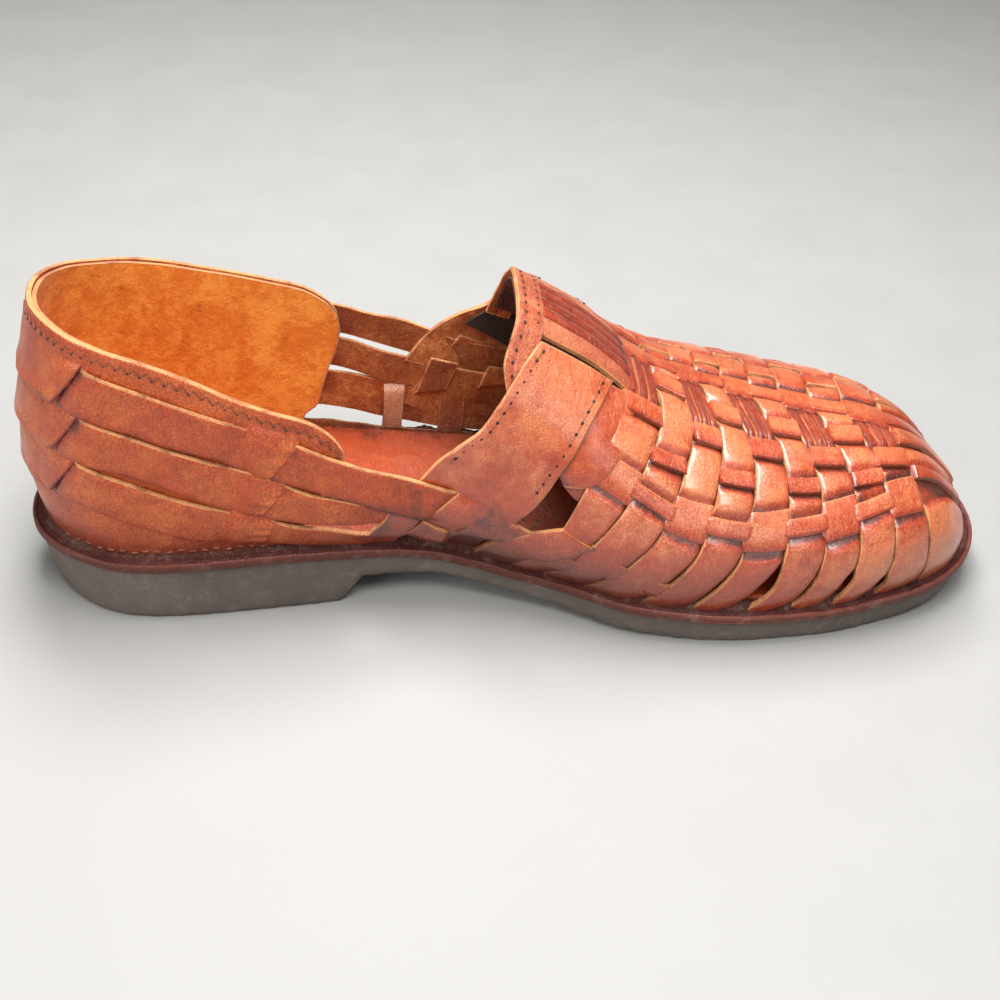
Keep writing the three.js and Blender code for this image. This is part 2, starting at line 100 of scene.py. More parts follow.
# height over the welt, how far the heel's back leans forward
LEAN = np.array([(0, 0), (12, -2.6), (26, -4.2), (40, -3.4), (52, -1.2), (62, 0.6), (72, 3.0), (110, 7.0)])


# -------------------- curves
def through(xk, yk, at):
    """Smooth curve through the rows (xk, yk) that never overshoots them: a cubic between rows whose
    slope at each row is the weighted harmonic mean of its two sides."""
    xk = np.asarray(xk, float)
    yk = np.asarray(yk, float)
    h = np.diff(xk)
    rise = np.diff(yk) / h
    slope = np.zeros_like(yk)
    slope[0], slope[-1] = rise[0], rise[-1]
    if len(xk) > 2:
        w1 = 2 * h[1:] + h[:-1]
        w2 = h[1:] + 2 * h[:-1]
        with np.errstate(divide="ignore", invalid="ignore"):
            mean = (w1 + w2) / (w1 / rise[:-1] + w2 / rise[1:])
        slope[1:-1] = np.where(rise[:-1] * rise[1:] > 0, mean, 0)
    p = np.clip(at, xk[0], xk[-1])
    i = np.clip(np.searchsorted(xk, p) - 1, 0, len(xk) - 2)
    t = (p - xk[i]) / h[i]
    return ((1 + 2 * t) * (1 - t) ** 2 * yk[i] + t * (1 - t) ** 2 * h[i] * slope[i]
            + t * t * (3 - 2 * t) * yk[i + 1] + t * t * (t - 1) * h[i] * slope[i + 1])


def joined(x, y, z):
    """Points, or any triples, from three arrays of shapes that broadcast together."""
    return np.stack(np.broadcast_arrays(x, y, z), -1)


def walk(line):
    """Length walked along a line of points, up to each of them."""
    return np.concatenate([[0], np.cumsum(np.linalg.norm(np.diff(line, axis=0), axis=1))])


def unit(v):
    """The same directions, each of length 1."""
    return v / np.maximum(np.linalg.norm(v, axis=-1, keepdims=True), 1e-9)


def ease(x, a, b):
    """0 below a, 1 above b, easing in and out between."""
    t = np.clip((x - a) / (b - a), 0, 1)
    return t * t * (3 - 2 * t)


def window(x, centre, half, soft):
    """1 within half of the centre, easing to 0 over the soft width outside."""
    return 1 - ease(np.abs(x - centre), half, half + soft)


def bow(share):
    """Parabola over a share from 0 to 1: 0 at both ends and 1 half way."""
    return 1 - (2 * share - 1) ** 2


def round_end(t, p):
    """Rounding of a closed end: superellipse of power p from 0 at t=0 to 1 at t=1."""
    return (1 - (1 - np.clip(t, 0, 1)) ** p) ** (1 / p)


def closing(x, back, front, heel, toe):
    """Share of the full width at x for a plan that closes round at heel and toe."""
    return round_end((x - back) / heel, 2.1) * round_end((front - x) / toe, 2.2)


def toe_turn(x):
    """How far the middle of the plan has turned to the medial side at x."""
    return -4.0 * ease(x, 200.0, SOLE_LENGTH)


def welt_height(x):
    """Height of the welt's top at x."""
    return through(WELT[:, 0], WELT[:, 1], x)


def plan_edge(x, side, inset):
    """Edge of the sole's plan at x on one side, drawn in by inset: turn + side * width * closing."""
    at = np.clip(x, inset, SOLE_LENGTH - inset)
    medial, lateral = (through(PLAN[:, 0], PLAN[:, k], at) for k in (1, 2))
    width = np.where(side < 0, medial, lateral) - inset
    return toe_turn(at) + side * width * closing(at, inset, SOLE_LENGTH - inset, 32 - inset, 64 - inset)


UPPER_BACK = FEATHER
UPPER_FRONT = SOLE_LENGTH - FEATHER


def last_point(x, side, t):
    """Point on the last. t runs 0 at the feather to 1 at the crown: first a bowed wall out to the
    swell line, then a superellipse arch up to the crown."""
    x, side, t = np.broadcast_arrays(np.asarray(x, float), np.asarray(side, float), np.asarray(t, float))
    at = np.clip(x, UPPER_BACK, UPPER_FRONT)
    column = lambda k: through(LAST[:, 0], LAST[:, k], at)
    share = closing(at, UPPER_BACK, UPPER_FRONT, 28, 60)
    floor = welt_height(at) + GLUE_LINE
    crown = column(4) * round_end((UPPER_FRONT - at) / 40, 2)
    swell = np.minimum(column(3), 0.42 * crown)
    wide = toe_turn(at) + side * np.where(side < 0, column(1), column(2)) * share
    feather = plan_edge(at, side, FEATHER)
    up = np.clip(t / SWELL_SHARE, 0, 1)
    low_y = wide - (wide - feather) * (1 - up) ** 2
    low_z = floor + swell * up
    turn = np.clip((t - SWELL_SHARE) / (1 - SWELL_SHARE), 0, 1) * np.pi / 2
    power = 2 / column(6)
    high_y = column(5) + (wide - column(5)) * np.maximum(np.cos(turn), 0) ** power
    high_z = floor + swell + (crown - swell) * np.sin(turn) ** power
    y = np.where(t < SWELL_SHARE, low_y, high_y)
    z = np.where(t < SWELL_SHARE, low_z, high_z)
    fade = np.clip(1 - (at - UPPER_BACK) / 60, 0, 1) ** 2
    return np.stack([at + through(LEAN[:, 0], LEAN[:, 1], np.maximum(0, z - floor)) * fade, y, z], -1)


# -------------------- the two maps of the last
def rows_interp(query, keys, values):
    """Straight-line look-up of each row's own table, all rows at once: rows are set far apart on one axis."""
    apart = np.arange(keys.shape[0])[:, None] * 1000.0
    flat = np.clip(query, keys[:, :1], keys[:, -1:]) + apart
    return np.interp(flat.ravel(), (keys + apart).ravel(), values.ravel()).reshape(query.shape)


def bunched(count, start, end):
    """Stations bunched towards both ends, so the round heel and toe stay smooth."""
    return start + (end - start) * (1 - np.cos(np.pi * np.linspace(0, 1, count))) / 2


def normals_of(grid, turn):
    """Unit normals of a grid of points: cross product of its two directions, signed by turn."""
    rows = np.gradient(grid, axis=0)
    cols = np.gradient(grid, axis=1)
    return unit(turn * np.cross(rows, cols))


def arch_tables():
    """Girth walked down each section from the crown, turned into even steps of b on both sides."""
    xs = bunched(420, UPPER_BACK, UPPER_FRONT)
    b = np.arange(-125.0, 125.5, 0.5)
    grid = np.zeros((len(xs), len(b), 3))
    half = np.zeros((len(xs), 2))
    for k, side in enumerate(SIDES):
        section = last_point(xs[:, None], side, np.linspace(1, 0, 400)[None, :])
        walked = np.cumsum(np.linalg.norm(np.diff(section, axis=1), axis=2), axis=1)
        walked = np.concatenate([np.zeros((len(xs), 1)), walked], 1) + np.arange(400) * 1e-6
        half[:, k] = walked[:, -1]
        mine = b >= 0 if side > 0 else b < 0
        girth = np.broadcast_to(np.abs(b[mine]), (len(xs), mine.sum()))
        spot = np.stack([rows_interp(girth, walked, section[:, :, c]) for c in range(3)], -1)
        spot[..., 2] -= np.clip(girth - walked[:, -1:], 0, TUCK)
        grid[:, mine] = spot
    return xs, b, grid, normals_of(grid, 1.0), half


def wall_tables():
    """Girth walked round the heel at the swell line, with each station's section read at even heights."""
    xs = bunched(400, UPPER_BACK, 200.0)
    z = np.arange(2.0, 112.0, 0.5)
    swell = last_point(xs, -1.0, SWELL_SHARE)
    walked = walk(swell[:, :2])
    s = np.arange(-190.0, 190.5, 0.7)
    at = np.interp(np.abs(s), walked, xs)
    side = np.where(s < 0, MEDIAL, LATERAL)
    section = last_point(at[:, None], side[:, None], np.linspace(0, 0.97, 300)[None, :])
    heights = section[:, :, 2] + np.arange(300) * 1e-6
    level = np.broadcast_to(z, (len(s), len(z)))
    grid = np.stack([rows_interp(level, heights, section[:, :, c]) for c in range(3)], -1)
    grid[..., 2] = level
    return s, z, grid, normals_of(grid, -1.0), xs, walked


ARCH_X, ARCH_B, ARCH_AT, ARCH_OUT, ARCH_HALF = arch_tables()
WALL_S, WALL_Z, WALL_AT, WALL_OUT, WALL_X, WALL_WALKED = wall_tables()


def read_map(rows, cols, at, out, r, c, rise):
    """Even blend of the four table entries round (r, c), raised by rise along the blended normal."""
    r, c, rise = np.broadcast_arrays(r, c, rise)
    i = np.clip(np.searchsorted(rows, r) - 1, 0, len(rows) - 2)
    j = np.clip(np.searchsorted(cols, c) - 1, 0, len(cols) - 2)
    fi = np.clip((r - rows[i]) / (rows[i + 1] - rows[i]), 0, 1)[..., None]
    fj = np.clip((c - cols[j]) / (cols[j + 1] - cols[j]), 0, 1)[..., None]

    def blend(table):
        near = table[i, j] * (1 - fj) + table[i, j + 1] * fj
        far = table[i + 1, j] * (1 - fj) + table[i + 1, j + 1] * fj
        return near * (1 - fi) + far * fi

    return blend(at) + unit(blend(out)) * rise[..., None]


def over_arch(x, b, rise):
    """Place on the arch map, raised by rise."""
    return read_map(ARCH_X, ARCH_B, ARCH_AT, ARCH_OUT, x, b, rise)


def strap_thick():
    """Thickness of a side strap or a cross strip in millimetres, as set in the panel."""
    return bpy.context.scene.sandal_sizes.strap / MM


def round_wall(s, z, rise):
    """Place on the wall map, raised by rise."""
    return read_map(WALL_S, WALL_Z, WALL_AT, WALL_OUT, s, z, rise)


def girth_at(x, side):
    """Girth round the heel at station x on one side."""
    return side * np.interp(x, WALL_X, WALL_WALKED)


def half_girth(x, side):
    """Girth from the crown to the feather at x on one side."""
    return np.interp(x, ARCH_X, ARCH_HALF[:, 0 if side < 0 else 1])


# -------------------- meshes
def linked(name, data):
    """New object in the scene's collection."""
    made = bpy.data.objects.new(name, data)
    bpy.context.scene.collection.objects.link(made)
    return made


class Batch:
    """Vertices, faces and per-vertex finish values of many sheets that become one object."""

    def __init__(self):
        self.verts, self.faces, self.place = [], [], []
        self.values = {"cut": [], "deep": [], "tone": [], "flesh": []}
        self.count = 0

    def add(self, verts, faces, cut=0.0, deep=0.5, tone=0.0, place=0.0, flesh=0.0):
        verts = verts.reshape(-1, 3)
        n = len(verts)
        self.verts.append(verts)
        self.faces.append(faces + self.count)
        self.place.append(np.broadcast_to(place, (n, 3)))
        for key, value in zip(self.values, (cut, deep, tone, flesh)):
            self.values[key].append(np.broadcast_to(value, n))
        self.count += n

    def to_object(self, name, finish, node, sharp=38):
        """Puts the arrays into one mesh object that rides on the shoe and stands for its CAD node."""
        verts = np.concatenate(self.verts) - (MIDDLE_X, MIDDLE_Y, 0)
        mesh = bpy.data.meshes.new(name)
        faces = [f for part in self.faces for f in part.tolist()]
        mesh.from_pydata((verts * MM).tolist(), [], faces)
        for key, parts in self.values.items():
            layer = mesh.attributes.new(key, "FLOAT", "POINT")
            layer.data.foreach_set("value", np.concatenate(parts).astype(np.float32))
        layer = mesh.attributes.new("place", "FLOAT_VECTOR", "POINT")
        layer.data.foreach_set("vector", np.concatenate(self.place).astype(np.float32).ravel())
        mesh.shade_smooth()
        mesh.set_sharp_from_angle(angle=math.radians(sharp))
        mesh.validate()
        piece = linked(name, mesh)
        mesh.materials.append(finish_of(finish))
        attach(piece, "root")
        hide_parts(node)


def quads(n, m, start=0, wrap=False):
    """Quad faces of an n by m grid of vertices, wrapped round its second direction when asked."""
    cols = m if wrap else m - 1
    i, j = np.meshgrid(np.arange(n - 1), np.arange(cols), indexing="ij")
    k = (j + 1) % m
    return start + np.stack([i * m + j, (i + 1) * m + j, (i + 1) * m + k, i * m + k], -1).reshape(-1, 4)


def sheet(batch, chart, u, v, rise, thick, deep=0.6, tone=0.0, bevel=0.3, ends=True,
          raw=(1.0, 1.0)):
    """A closed sheet of leather over the grid (u, v): the top lies at rise + thick, the underside at rise.
    Border rows are cut edges: their top is dropped by the bevel and marked by how raw the edge is."""
    u, v = np.broadcast_arrays(u, v)
    n, m = u.shape
    top = rise + thick
    cut = np.zeros((n, m))
    drop = np.zeros((n, m))
    drop[:, [0, -1]] = bevel
    if ends:
        drop[[0, -1], :] = bevel
        cut[[0, -1], :] = 0.5 * sum(raw)
    cut[:, 0], cut[:, -1] = raw
    upper = chart(u, v, top - drop).reshape(-1, 3)
    under = chart(u, v, rise).reshape(-1, 3)
    size = n * m
    face_up = quads(n, m)
    face_down = quads(n, m, size)[:, ::-1]
    ring = np.concatenate([
        np.arange(m), np.arange(1, n) * m + m - 1, (n - 1) * m + np.arange(m - 2, -1, -1),
        np.arange(n - 2, 0, -1) * m])
    after = np.roll(ring, -1)
    walls = np.stack([ring, after, after + size, ring + size], -1)
    faces = np.concatenate([face_up, face_down, walls])
    verts = np.concatenate([upper, under])
    a, b, c = verts[face_up[:, 0]], verts[face_up[:, 1]], verts[face_up[:, 3]]
    facing = np.cross(b - a, c - a)
    outward = verts[face_up[:, 0]] - verts[face_up[:, 0] + size]
    if (facing * outward).sum() < 0:
        faces = faces[:, ::-1]
    grid = upper.reshape(n, m, 3)
    along, width = walk(grid[:, m // 2]), walk(grid[n // 2])
    place = joined(along[:, None], width - width[-1] / 2, 0.0).reshape(-1, 3)
    deep = np.broadcast_to(deep, (n, m)).ravel()
    cut = np.tile(cut.ravel(), 2)
    batch.add(verts, faces, cut, np.concatenate([deep, np.full(size, 0.6)]), tone, np.tile(place, (2, 1)),
              np.repeat([0.0, 1.0], size) * (1 - cut))


def shares(width, step, lip=0.35):
    """Places across a strap from 0 to 1, as one row: a lip at each edge, even steps between."""
    inner = max(2, int(round(width / step)))
    e = min(0.2, lip / width)
    return np.concatenate([[0], np.linspace(e, 1 - e, inner + 1), [1]])[None, :]


def curve(rows, count):
    """Smooth curve through (u, v) rows, walked in even steps of its length."""
    rows = np.asarray(rows, float)
    key = walk(rows)
    at = np.linspace(0, key[-1], count)
    if len(rows) == 2:
        return rows[0] + (rows[1] - rows[0]) * (at / key[-1])[:, None]
    return np.stack([through(key, rows[:, 0], at), through(key, rows[:, 1], at)], -1)


def between(edge_a, edge_b, count, across):
    """Grid of points from one edge curve to the other: a share of the way across at each row."""
    a = curve(edge_a, count)[:, None, :]
    b = curve(edge_b, count)[:, None, :]
    grid = a + (b - a) * np.ravel(across)[None, :, None]
    return grid[..., 0], grid[..., 1]


def to_wall(rows, side):
    """Rows of (station x, height) turned into the wall map's (girth, height)."""
    rows = np.asarray(rows, float)
    return np.stack([girth_at(rows[:, 0], side), rows[:, 1]], -1)


def beads(batch, chart, u, v, du, dv, length, width, height, rise, around=6, along=4):
    """Many small capsules lying on a map: each is an ellipse swept between two points along (du, dv)."""
    u, v, du, dv = (np.asarray(a, float).ravel() for a in np.broadcast_arrays(u, v, du, dv))
    centre = chart(u, v, rise)
    ahead = unit(chart(u + du * 0.5, v + dv * 0.5, rise) - chart(u - du * 0.5, v - dv * 0.5, rise))
    out = chart(u, v, rise + 1.0) - centre
    side = unit(np.cross(out, ahead))
    step = np.linspace(-1, 1, along + 1)
    fat = np.sqrt(np.maximum(1 - np.abs(step) ** 2.5, 0.02))
    turn = np.linspace(0, 2 * np.pi, around, endpoint=False)
    ring = joined(step[:, None] * length / 2, fat[:, None] * np.cos(turn) * width / 2,
                  fat[:, None] * np.sin(turn) * height).reshape(-1, 3)
    verts = (centre[:, None] + ring[None, :, :1] * ahead[:, None] + ring[None, :, 1:2] * side[:, None]
             + ring[None, :, 2:] * out[:, None])
    base = quads(along + 1, around, wrap=True)
    faces = (base[None] + np.arange(len(u))[:, None, None] * len(ring)).reshape(-1, 4)
    batch.add(verts, faces)


# -------------------- finishes
class Nodes:
    """A short way to lay nodes in a tree: add one with its settings, inputs and links at once."""

    def __init__(self, tree):
        self.tree = tree

    def add(self, kind, settings=None, **inputs):
        node = self.tree.nodes.new(kind)
        for key, value in (settings or {}).items():
            setattr(node, key, value)
        for key, value in inputs.items():
            self.feed(node, key, value)
        return node

    def feed(self, node, key, value):
        name = key.replace("_", " ")
        socket = node.inputs[int(name[1:])] if name[0] == "i" and name[1:].isdigit() else node.inputs[name]
        if isinstance(value, bpy.types.NodeSocket):
            self.tree.links.new(value, socket)
        else:
            socket.default_value = colour(value) if socket.type == "RGBA" else value

    def maths(self, operation, a, b=0.0, clamp=False):
        """One sum of two values or sockets."""
        node = self.tree.nodes.new("ShaderNodeMath")
        node.operation = operation
        node.use_clamp = clamp
        self.feed(node, "i0", a)
        self.feed(node, "i1", b)
        return node.outputs[0]

    def mix(self, factor, a, b, blend="MIX"):
        """Colour between a and b."""
        node = self.tree.nodes.new("ShaderNodeMix")
        node.data_type = "RGBA"
        node.blend_type = blend
        self.feed(node, "i0", factor)
        self.feed(node, "i6", a)
        self.feed(node, "i7", b)
        return node.outputs[2]

    def spread(self, value, low, high, to_low=0.0, to_high=1.0):
        """A value eased from one range to another."""
        node = self.add("ShaderNodeMapRange", {"interpolation_type": "SMOOTHSTEP"})
        self.feed(node, "Value", value)
        for key, number in (("From Min", low), ("From Max", high), ("To Min", to_low), ("To Max", to_high)):
            node.inputs[key].default_value = number
        return node.outputs[0]

    def total(self, *parts):
        """Sum of (value, share) parts, each multiplied by its share."""
        products = [self.maths("MULTIPLY", value, share) for value, share in parts]
        height = products[0]
        for product in products[1:]:
            height = self.maths("ADD", height, product)
        return height

    def off_middle(self, value):
        """A value of 0 to 1, less a half."""
        return self.maths("SUBTRACT", value, 0.5)

    def where(self):
        """Place on the piece, in metres of the shared frame."""
        return self.add("ShaderNodeTexCoord").outputs["Object"]

    def bump(self, shader, height, strength, distance):
        """Feeds a height to the shader's normal through a Bump node."""
        bumps = self.add("ShaderNodeBump", Height=height, Strength=strength, Distance=distance)
        self.feed(shader, "Normal", bumps.outputs[0])

    def noise(self, vector, scale, detail=4.0, rough=0.55, distortion=0.0):
        node = self.add("ShaderNodeTexNoise", Vector=vector, Scale=scale, Detail=detail, Roughness=rough)
        node.inputs["Distortion"].default_value = distortion
        return node.outputs["Fac"]

    def attribute(self, name, output="Fac"):
        """A value stored on the mesh's points."""
        return self.add("ShaderNodeAttribute", {"attribute_name": name}).outputs[output]


def colour(rgb):
    """Three colour values with a full alpha."""
    return (*rgb[:3], 1.0)


def group(name, takes, gives):
    """New shader node group with named sockets: (name, kind, default) in, (name, kind) out."""
    tree = bpy.data.node_groups.new(name, "ShaderNodeTree")
    for label, kind, default in takes:
        socket = tree.interface.new_socket(label, in_out="INPUT", socket_type=kind)
        socket.default_value = default
    for label, kind in gives:
        tree.interface.new_socket(label, in_out="OUTPUT", socket_type=kind)
    return tree, Nodes(tree), tree.nodes.new("NodeGroupInput"), tree.nodes.new("NodeGroupOutput")


FLOAT = "NodeSocketFloat"
COLOUR = "NodeSocketColor"


def grain_group():
    """Leather grain: small rounded cells with fine creases between, and slow hand-worked ripples."""
    tree, n, take, give = group(
        "Leather grain", [("Cell Size", FLOAT, 900.0), ("Crease", FLOAT, 1.0), ("Ripple", FLOAT, 1.0)],
        [("Height", FLOAT), ("Crease Mask", FLOAT), ("Ripple Mask", FLOAT)])
    where = n.where()
    bend = n.add("ShaderNodeTexNoise", Vector=where, Scale=260.0, Detail=3.0)
    shifted = n.add("ShaderNodeVectorMath", {"operation": "MULTIPLY_ADD"})
    n.feed(shifted, "i0", bend.outputs["Color"])
    n.feed(shifted, "i1", (0.0016, 0.0016, 0.0016))
    n.feed(shifted, "i2", where)
    cells = n.add("ShaderNodeTexVoronoi", {"feature": "DISTANCE_TO_EDGE"}, Vector=shifted.outputs[0])
    n.feed(cells, "Scale", take.outputs["Cell Size"])
    crease = n.spread(cells.outputs["Distance"], 0.0, 0.11, 1.0, 0.0)
    stretched = n.add("ShaderNodeMapping", Vector=where)
    stretched.inputs["Scale"].default_value = (1.0, 0.45, 0.45)
    lines = n.spread(n.noise(stretched.outputs[0], 420.0, 5.0, 0.6, 0.8), 0.36, 0.6)
    ripple = n.noise(where, 120.0, 3.0, 0.5, 0.4)
    pores = n.spread(n.noise(where, 1900.0, 2.0, 0.5), 0.3, 0.5)
    asked = lambda key, share: n.maths("MULTIPLY", take.outputs[key], share)
    n.feed(give, "Height", n.total((crease, asked("Crease", -0.35)), (lines, asked("Crease", 0.5)),
                                   (ripple, asked("Ripple", 1.6)), (pores, 0.12)))
    n.feed(give, "Crease Mask", n.maths("MULTIPLY", crease, n.spread(ripple, 0.35, 0.62)))
    n.feed(give, "Ripple Mask", ripple)
    return tree


def burnish_group():
    """Hand dye: dark where a strap tucks under, warm and bright on its crest, with slow blotches."""
    tree, n, take, give = group(
        "Dye with painted light",
        [("Shadow", COLOUR, colour((0.07, 0.012, 0.006))), ("Body", COLOUR, colour((0.33, 0.07, 0.022))),
         ("Glow", COLOUR, colour((0.56, 0.15, 0.035))), ("Deep", FLOAT, 0.6), ("Tone", FLOAT, 0.0),
         ("Blotch", FLOAT, 1.0)],
        [("Color", COLOUR), ("Level", FLOAT)])
    where = n.where()
    slow = n.noise(where, 62.0, 4.0, 0.6, 0.6)
    fine = n.noise(where, 340.0, 5.0, 0.65, 0.3)
    speck = n.noise(where, 1500.0, 2.0, 0.6)
    # the shading level picks the colour: painted shade when low, the body in the middle, a painted highlight
    # when high; tone and blotches shift it
    level = n.maths("ADD", take.outputs["Deep"], n.maths("MULTIPLY", take.outputs["Tone"], 0.16))
    drift = n.total((n.off_middle(slow), 1.05), (n.off_middle(fine), 0.7), (n.off_middle(speck), 0.16))
    level = n.maths("ADD", level, n.maths("MULTIPLY", drift, take.outputs["Blotch"]), clamp=True)
    low = n.mix(n.spread(level, 0.0, 0.52), take.outputs["Shadow"], take.outputs["Body"])
    n.feed(give, "Color", n.mix(n.spread(level, 0.46, 1.0), low, take.outputs["Glow"]))
    n.feed(give, "Level", level)
    return tree


def raw_edge_group():
    """Cut edge of the hide: pale fibres in streaks, stained here and there by the dye."""
    tree, n, take, give = group(
        "Raw cut edge", [("Cut", FLOAT, 0.0), ("Pale", COLOUR, colour((0.52, 0.21, 0.085))),
                         ("Stain", COLOUR, colour((0.22, 0.06, 0.028)))],
        [("Color", COLOUR), ("Mask", FLOAT)])
    where = n.where()
    fibre = n.noise(where, 1100.0, 4.0, 0.7, 0.2)
    patch = n.noise(where, 130.0, 3.0, 0.6)
    dark_patch = n.maths("MULTIPLY", n.spread(patch, 0.42, 0.68), n.spread(fibre, 0.3, 0.75, 0.5, 1.0))
    n.feed(give, "Color", n.mix(dark_patch, take.outputs["Pale"], take.outputs["Stain"]))
    worn = n.maths("ADD", take.outputs["Cut"], n.maths("MULTIPLY", n.off_middle(fibre), 0.5))
    n.feed(give, "Mask", n.spread(worn, 0.3, 0.62))
    return tree


def dust_group():
    """A little pale dust and rub, gathered low down and in scattered specks."""
    tree, n, take, give = group("Dust and rub", [("Amount", FLOAT, 0.3)], [("Mask", FLOAT)])
    where = n.where()
    height = n.add("ShaderNodeSeparateXYZ", Vector=where).outputs["Z"]
    low = n.spread(height, 0.008, 0.03, 1.0, 0.15)
    cloud = n.spread(n.noise(where, 170.0, 6.0, 0.7, 0.5), 0.5, 0.78)
    n.feed(give, "Mask", n.maths("MULTIPLY", n.maths("MULTIPLY", cloud, low), take.outputs["Amount"]))
    return tree


GROUPS = {}


def shared_groups():
    """The node groups used by more than one material, made when first asked for."""
    if not GROUPS:
        GROUPS.update(grain=grain_group(), burnish=burnish_group(), raw=raw_edge_group(), dust=dust_group())
    return GROUPS


def placed(n, tree, **inputs):
    """A shared group placed in a material with its own values."""
    node = n.add("ShaderNodeGroup", {"node_tree": tree})
    for key, value in inputs.items():
        n.feed(node, key, value)
    return node


def fresh(name):
    """New material, its nodes and its shader."""
    material = bpy.data.materials.new(name)
    material.use_nodes = True
    tree = material.node_tree
    shader = tree.nodes["Principled BSDF"]
    return material, Nodes(tree), shader


def flesh_colour(n):
    """Undyed flesh side of the hide: pale tan with streaks of fibre and smears of dye."""
    where = n.where()
    fibre = n.noise(where, 520.0, 5.0, 0.7, 0.5)
    smear = n.noise(where, 90.0, 4.0, 0.6, 0.5)
    base = n.mix(n.spread(fibre, 0.3, 0.7), (0.36, 0.10, 0.022), (0.66, 0.25, 0.075))
    base = n.mix(n.spread(smear, 0.42, 0.66), base, (0.30, 0.065, 0.014))
    tone = n.attribute("tone")
    base = n.mix(n.spread(tone, -0.7, -0.1, 0.6, 0.0), base, (0.13, 0.030, 0.010))
    return n.mix(n.spread(tone, 0.6, 0.9, 0.0, 0.8), base, (0.62, 0.34, 0.20))


def leather(name, shadow, body, glow, rough=0.40, coat=0.9, cell=900.0, crease=1.0, ripple=1.0, bump=0.7,
            pale=(0.62, 0.28, 0.11), dust=0.10, blotch=1.0, under=0.9):
    """Dyed and polished hide with burnished straps, grain, raw cut edges and a little dust."""
    shared = shared_groups()
    material, n, shader = fresh(name)
    grain = placed(n, shared["grain"], Cell_Size=cell, Crease=crease, Ripple=ripple)
    dye_and_shade = placed(n, shared["burnish"], Shadow=shadow, Body=body, Glow=glow,
                 Deep=n.attribute("deep"), Tone=n.attribute("tone"), Blotch=blotch)
    edge = placed(n, shared["raw"], Cut=n.attribute("cut"), Pale=pale)
    dusty = placed(n, shared["dust"], Amount=dust)
    # painted shade in the grain's creases
    crease_shade = n.maths("MULTIPLY", grain.outputs["Crease Mask"], 0.42)
    base = n.mix(crease_shade, dye_and_shade.outputs["Color"], shadow)
    flesh = n.attribute("flesh")
    base = n.mix(n.maths("MULTIPLY", flesh, under), base, flesh_colour(n))
    base = n.mix(edge.outputs["Mask"], base, edge.outputs["Color"])
    # painted shade: darker low down, less so towards the toe
    spot = n.add("ShaderNodeSeparateXYZ", Vector=n.where())
    low_shade = n.maths("MULTIPLY", n.spread(spot.outputs["Z"], 0.012, 0.036, 0.85, 0.0),
                     n.spread(spot.outputs["X"], 0.01, 0.07, 1.0, 0.2))
    base = n.mix(low_shade, base, (0.080, 0.012, 0.006))
    base = n.mix(dusty.outputs["Mask"], base, (0.42, 0.33, 0.27))
    n.feed(shader, "Base Color", base)
    gloss = n.maths("ADD", n.spread(grain.outputs["Ripple Mask"], 0.3, 0.7, rough - 0.07, rough + 0.08),
                    n.maths("MULTIPLY", edge.outputs["Mask"], 0.35))
    n.feed(shader, "Roughness", n.maths("ADD", gloss, n.maths("MULTIPLY", dusty.outputs["Mask"], 0.3)))
    shader.inputs["Coat Roughness"].default_value = 0.28
    shader.inputs["Coat IOR"].default_value = 1.65
    n.feed(shader, "Coat Weight", n.maths("MULTIPLY", n.maths("SUBTRACT", 1.0, edge.outputs["Mask"]), coat))
    n.bump(shader, grain.outputs["Height"], bump, 0.0006)
    return material


def suede(name, dark, body, light):
    """Brushed suede: short nap in soft drifts, darker where it has been rubbed."""
    shared = shared_groups()
    material, n, shader = fresh(name)
    where = n.where()
    drift = n.noise(where, 75.0, 5.0, 0.65, 0.7)
    nap_fine = n.noise(where, 1500.0, 3.0, 0.7)
    nap_mid = n.noise(where, 420.0, 4.0, 0.65, 0.5)
    # the shading level darkens or lightens the nap: painted shade and painted light
    level = n.total((drift, 0.55), (nap_mid, 0.3), (nap_fine, 0.25), (n.off_middle(n.attribute("deep")), 0.6))
    base = n.mix(n.spread(level, 0.40, 0.54), dark, body)
    base = n.mix(n.spread(level, 0.54, 0.70), base, light)
    edge = placed(n, shared["raw"], Cut=n.attribute("cut"))
    base = n.mix(edge.outputs["Mask"], base, edge.outputs["Color"])
    n.feed(shader, "Base Color", base)
    n.feed(shader, "Roughness", n.spread(nap_mid, 0.3, 0.7, 0.82, 0.95))
    shader.inputs["Sheen Weight"].default_value = 0.25
    shader.inputs["Sheen Roughness"].default_value = 0.45
    shader.inputs["Sheen Tint"].default_value = (1.0, 0.72, 0.45, 1.0)
    height = n.maths("ADD", n.maths("MULTIPLY", nap_fine, 0.6), nap_mid)
    n.bump(shader, height, 0.8, 0.0006)
    return material


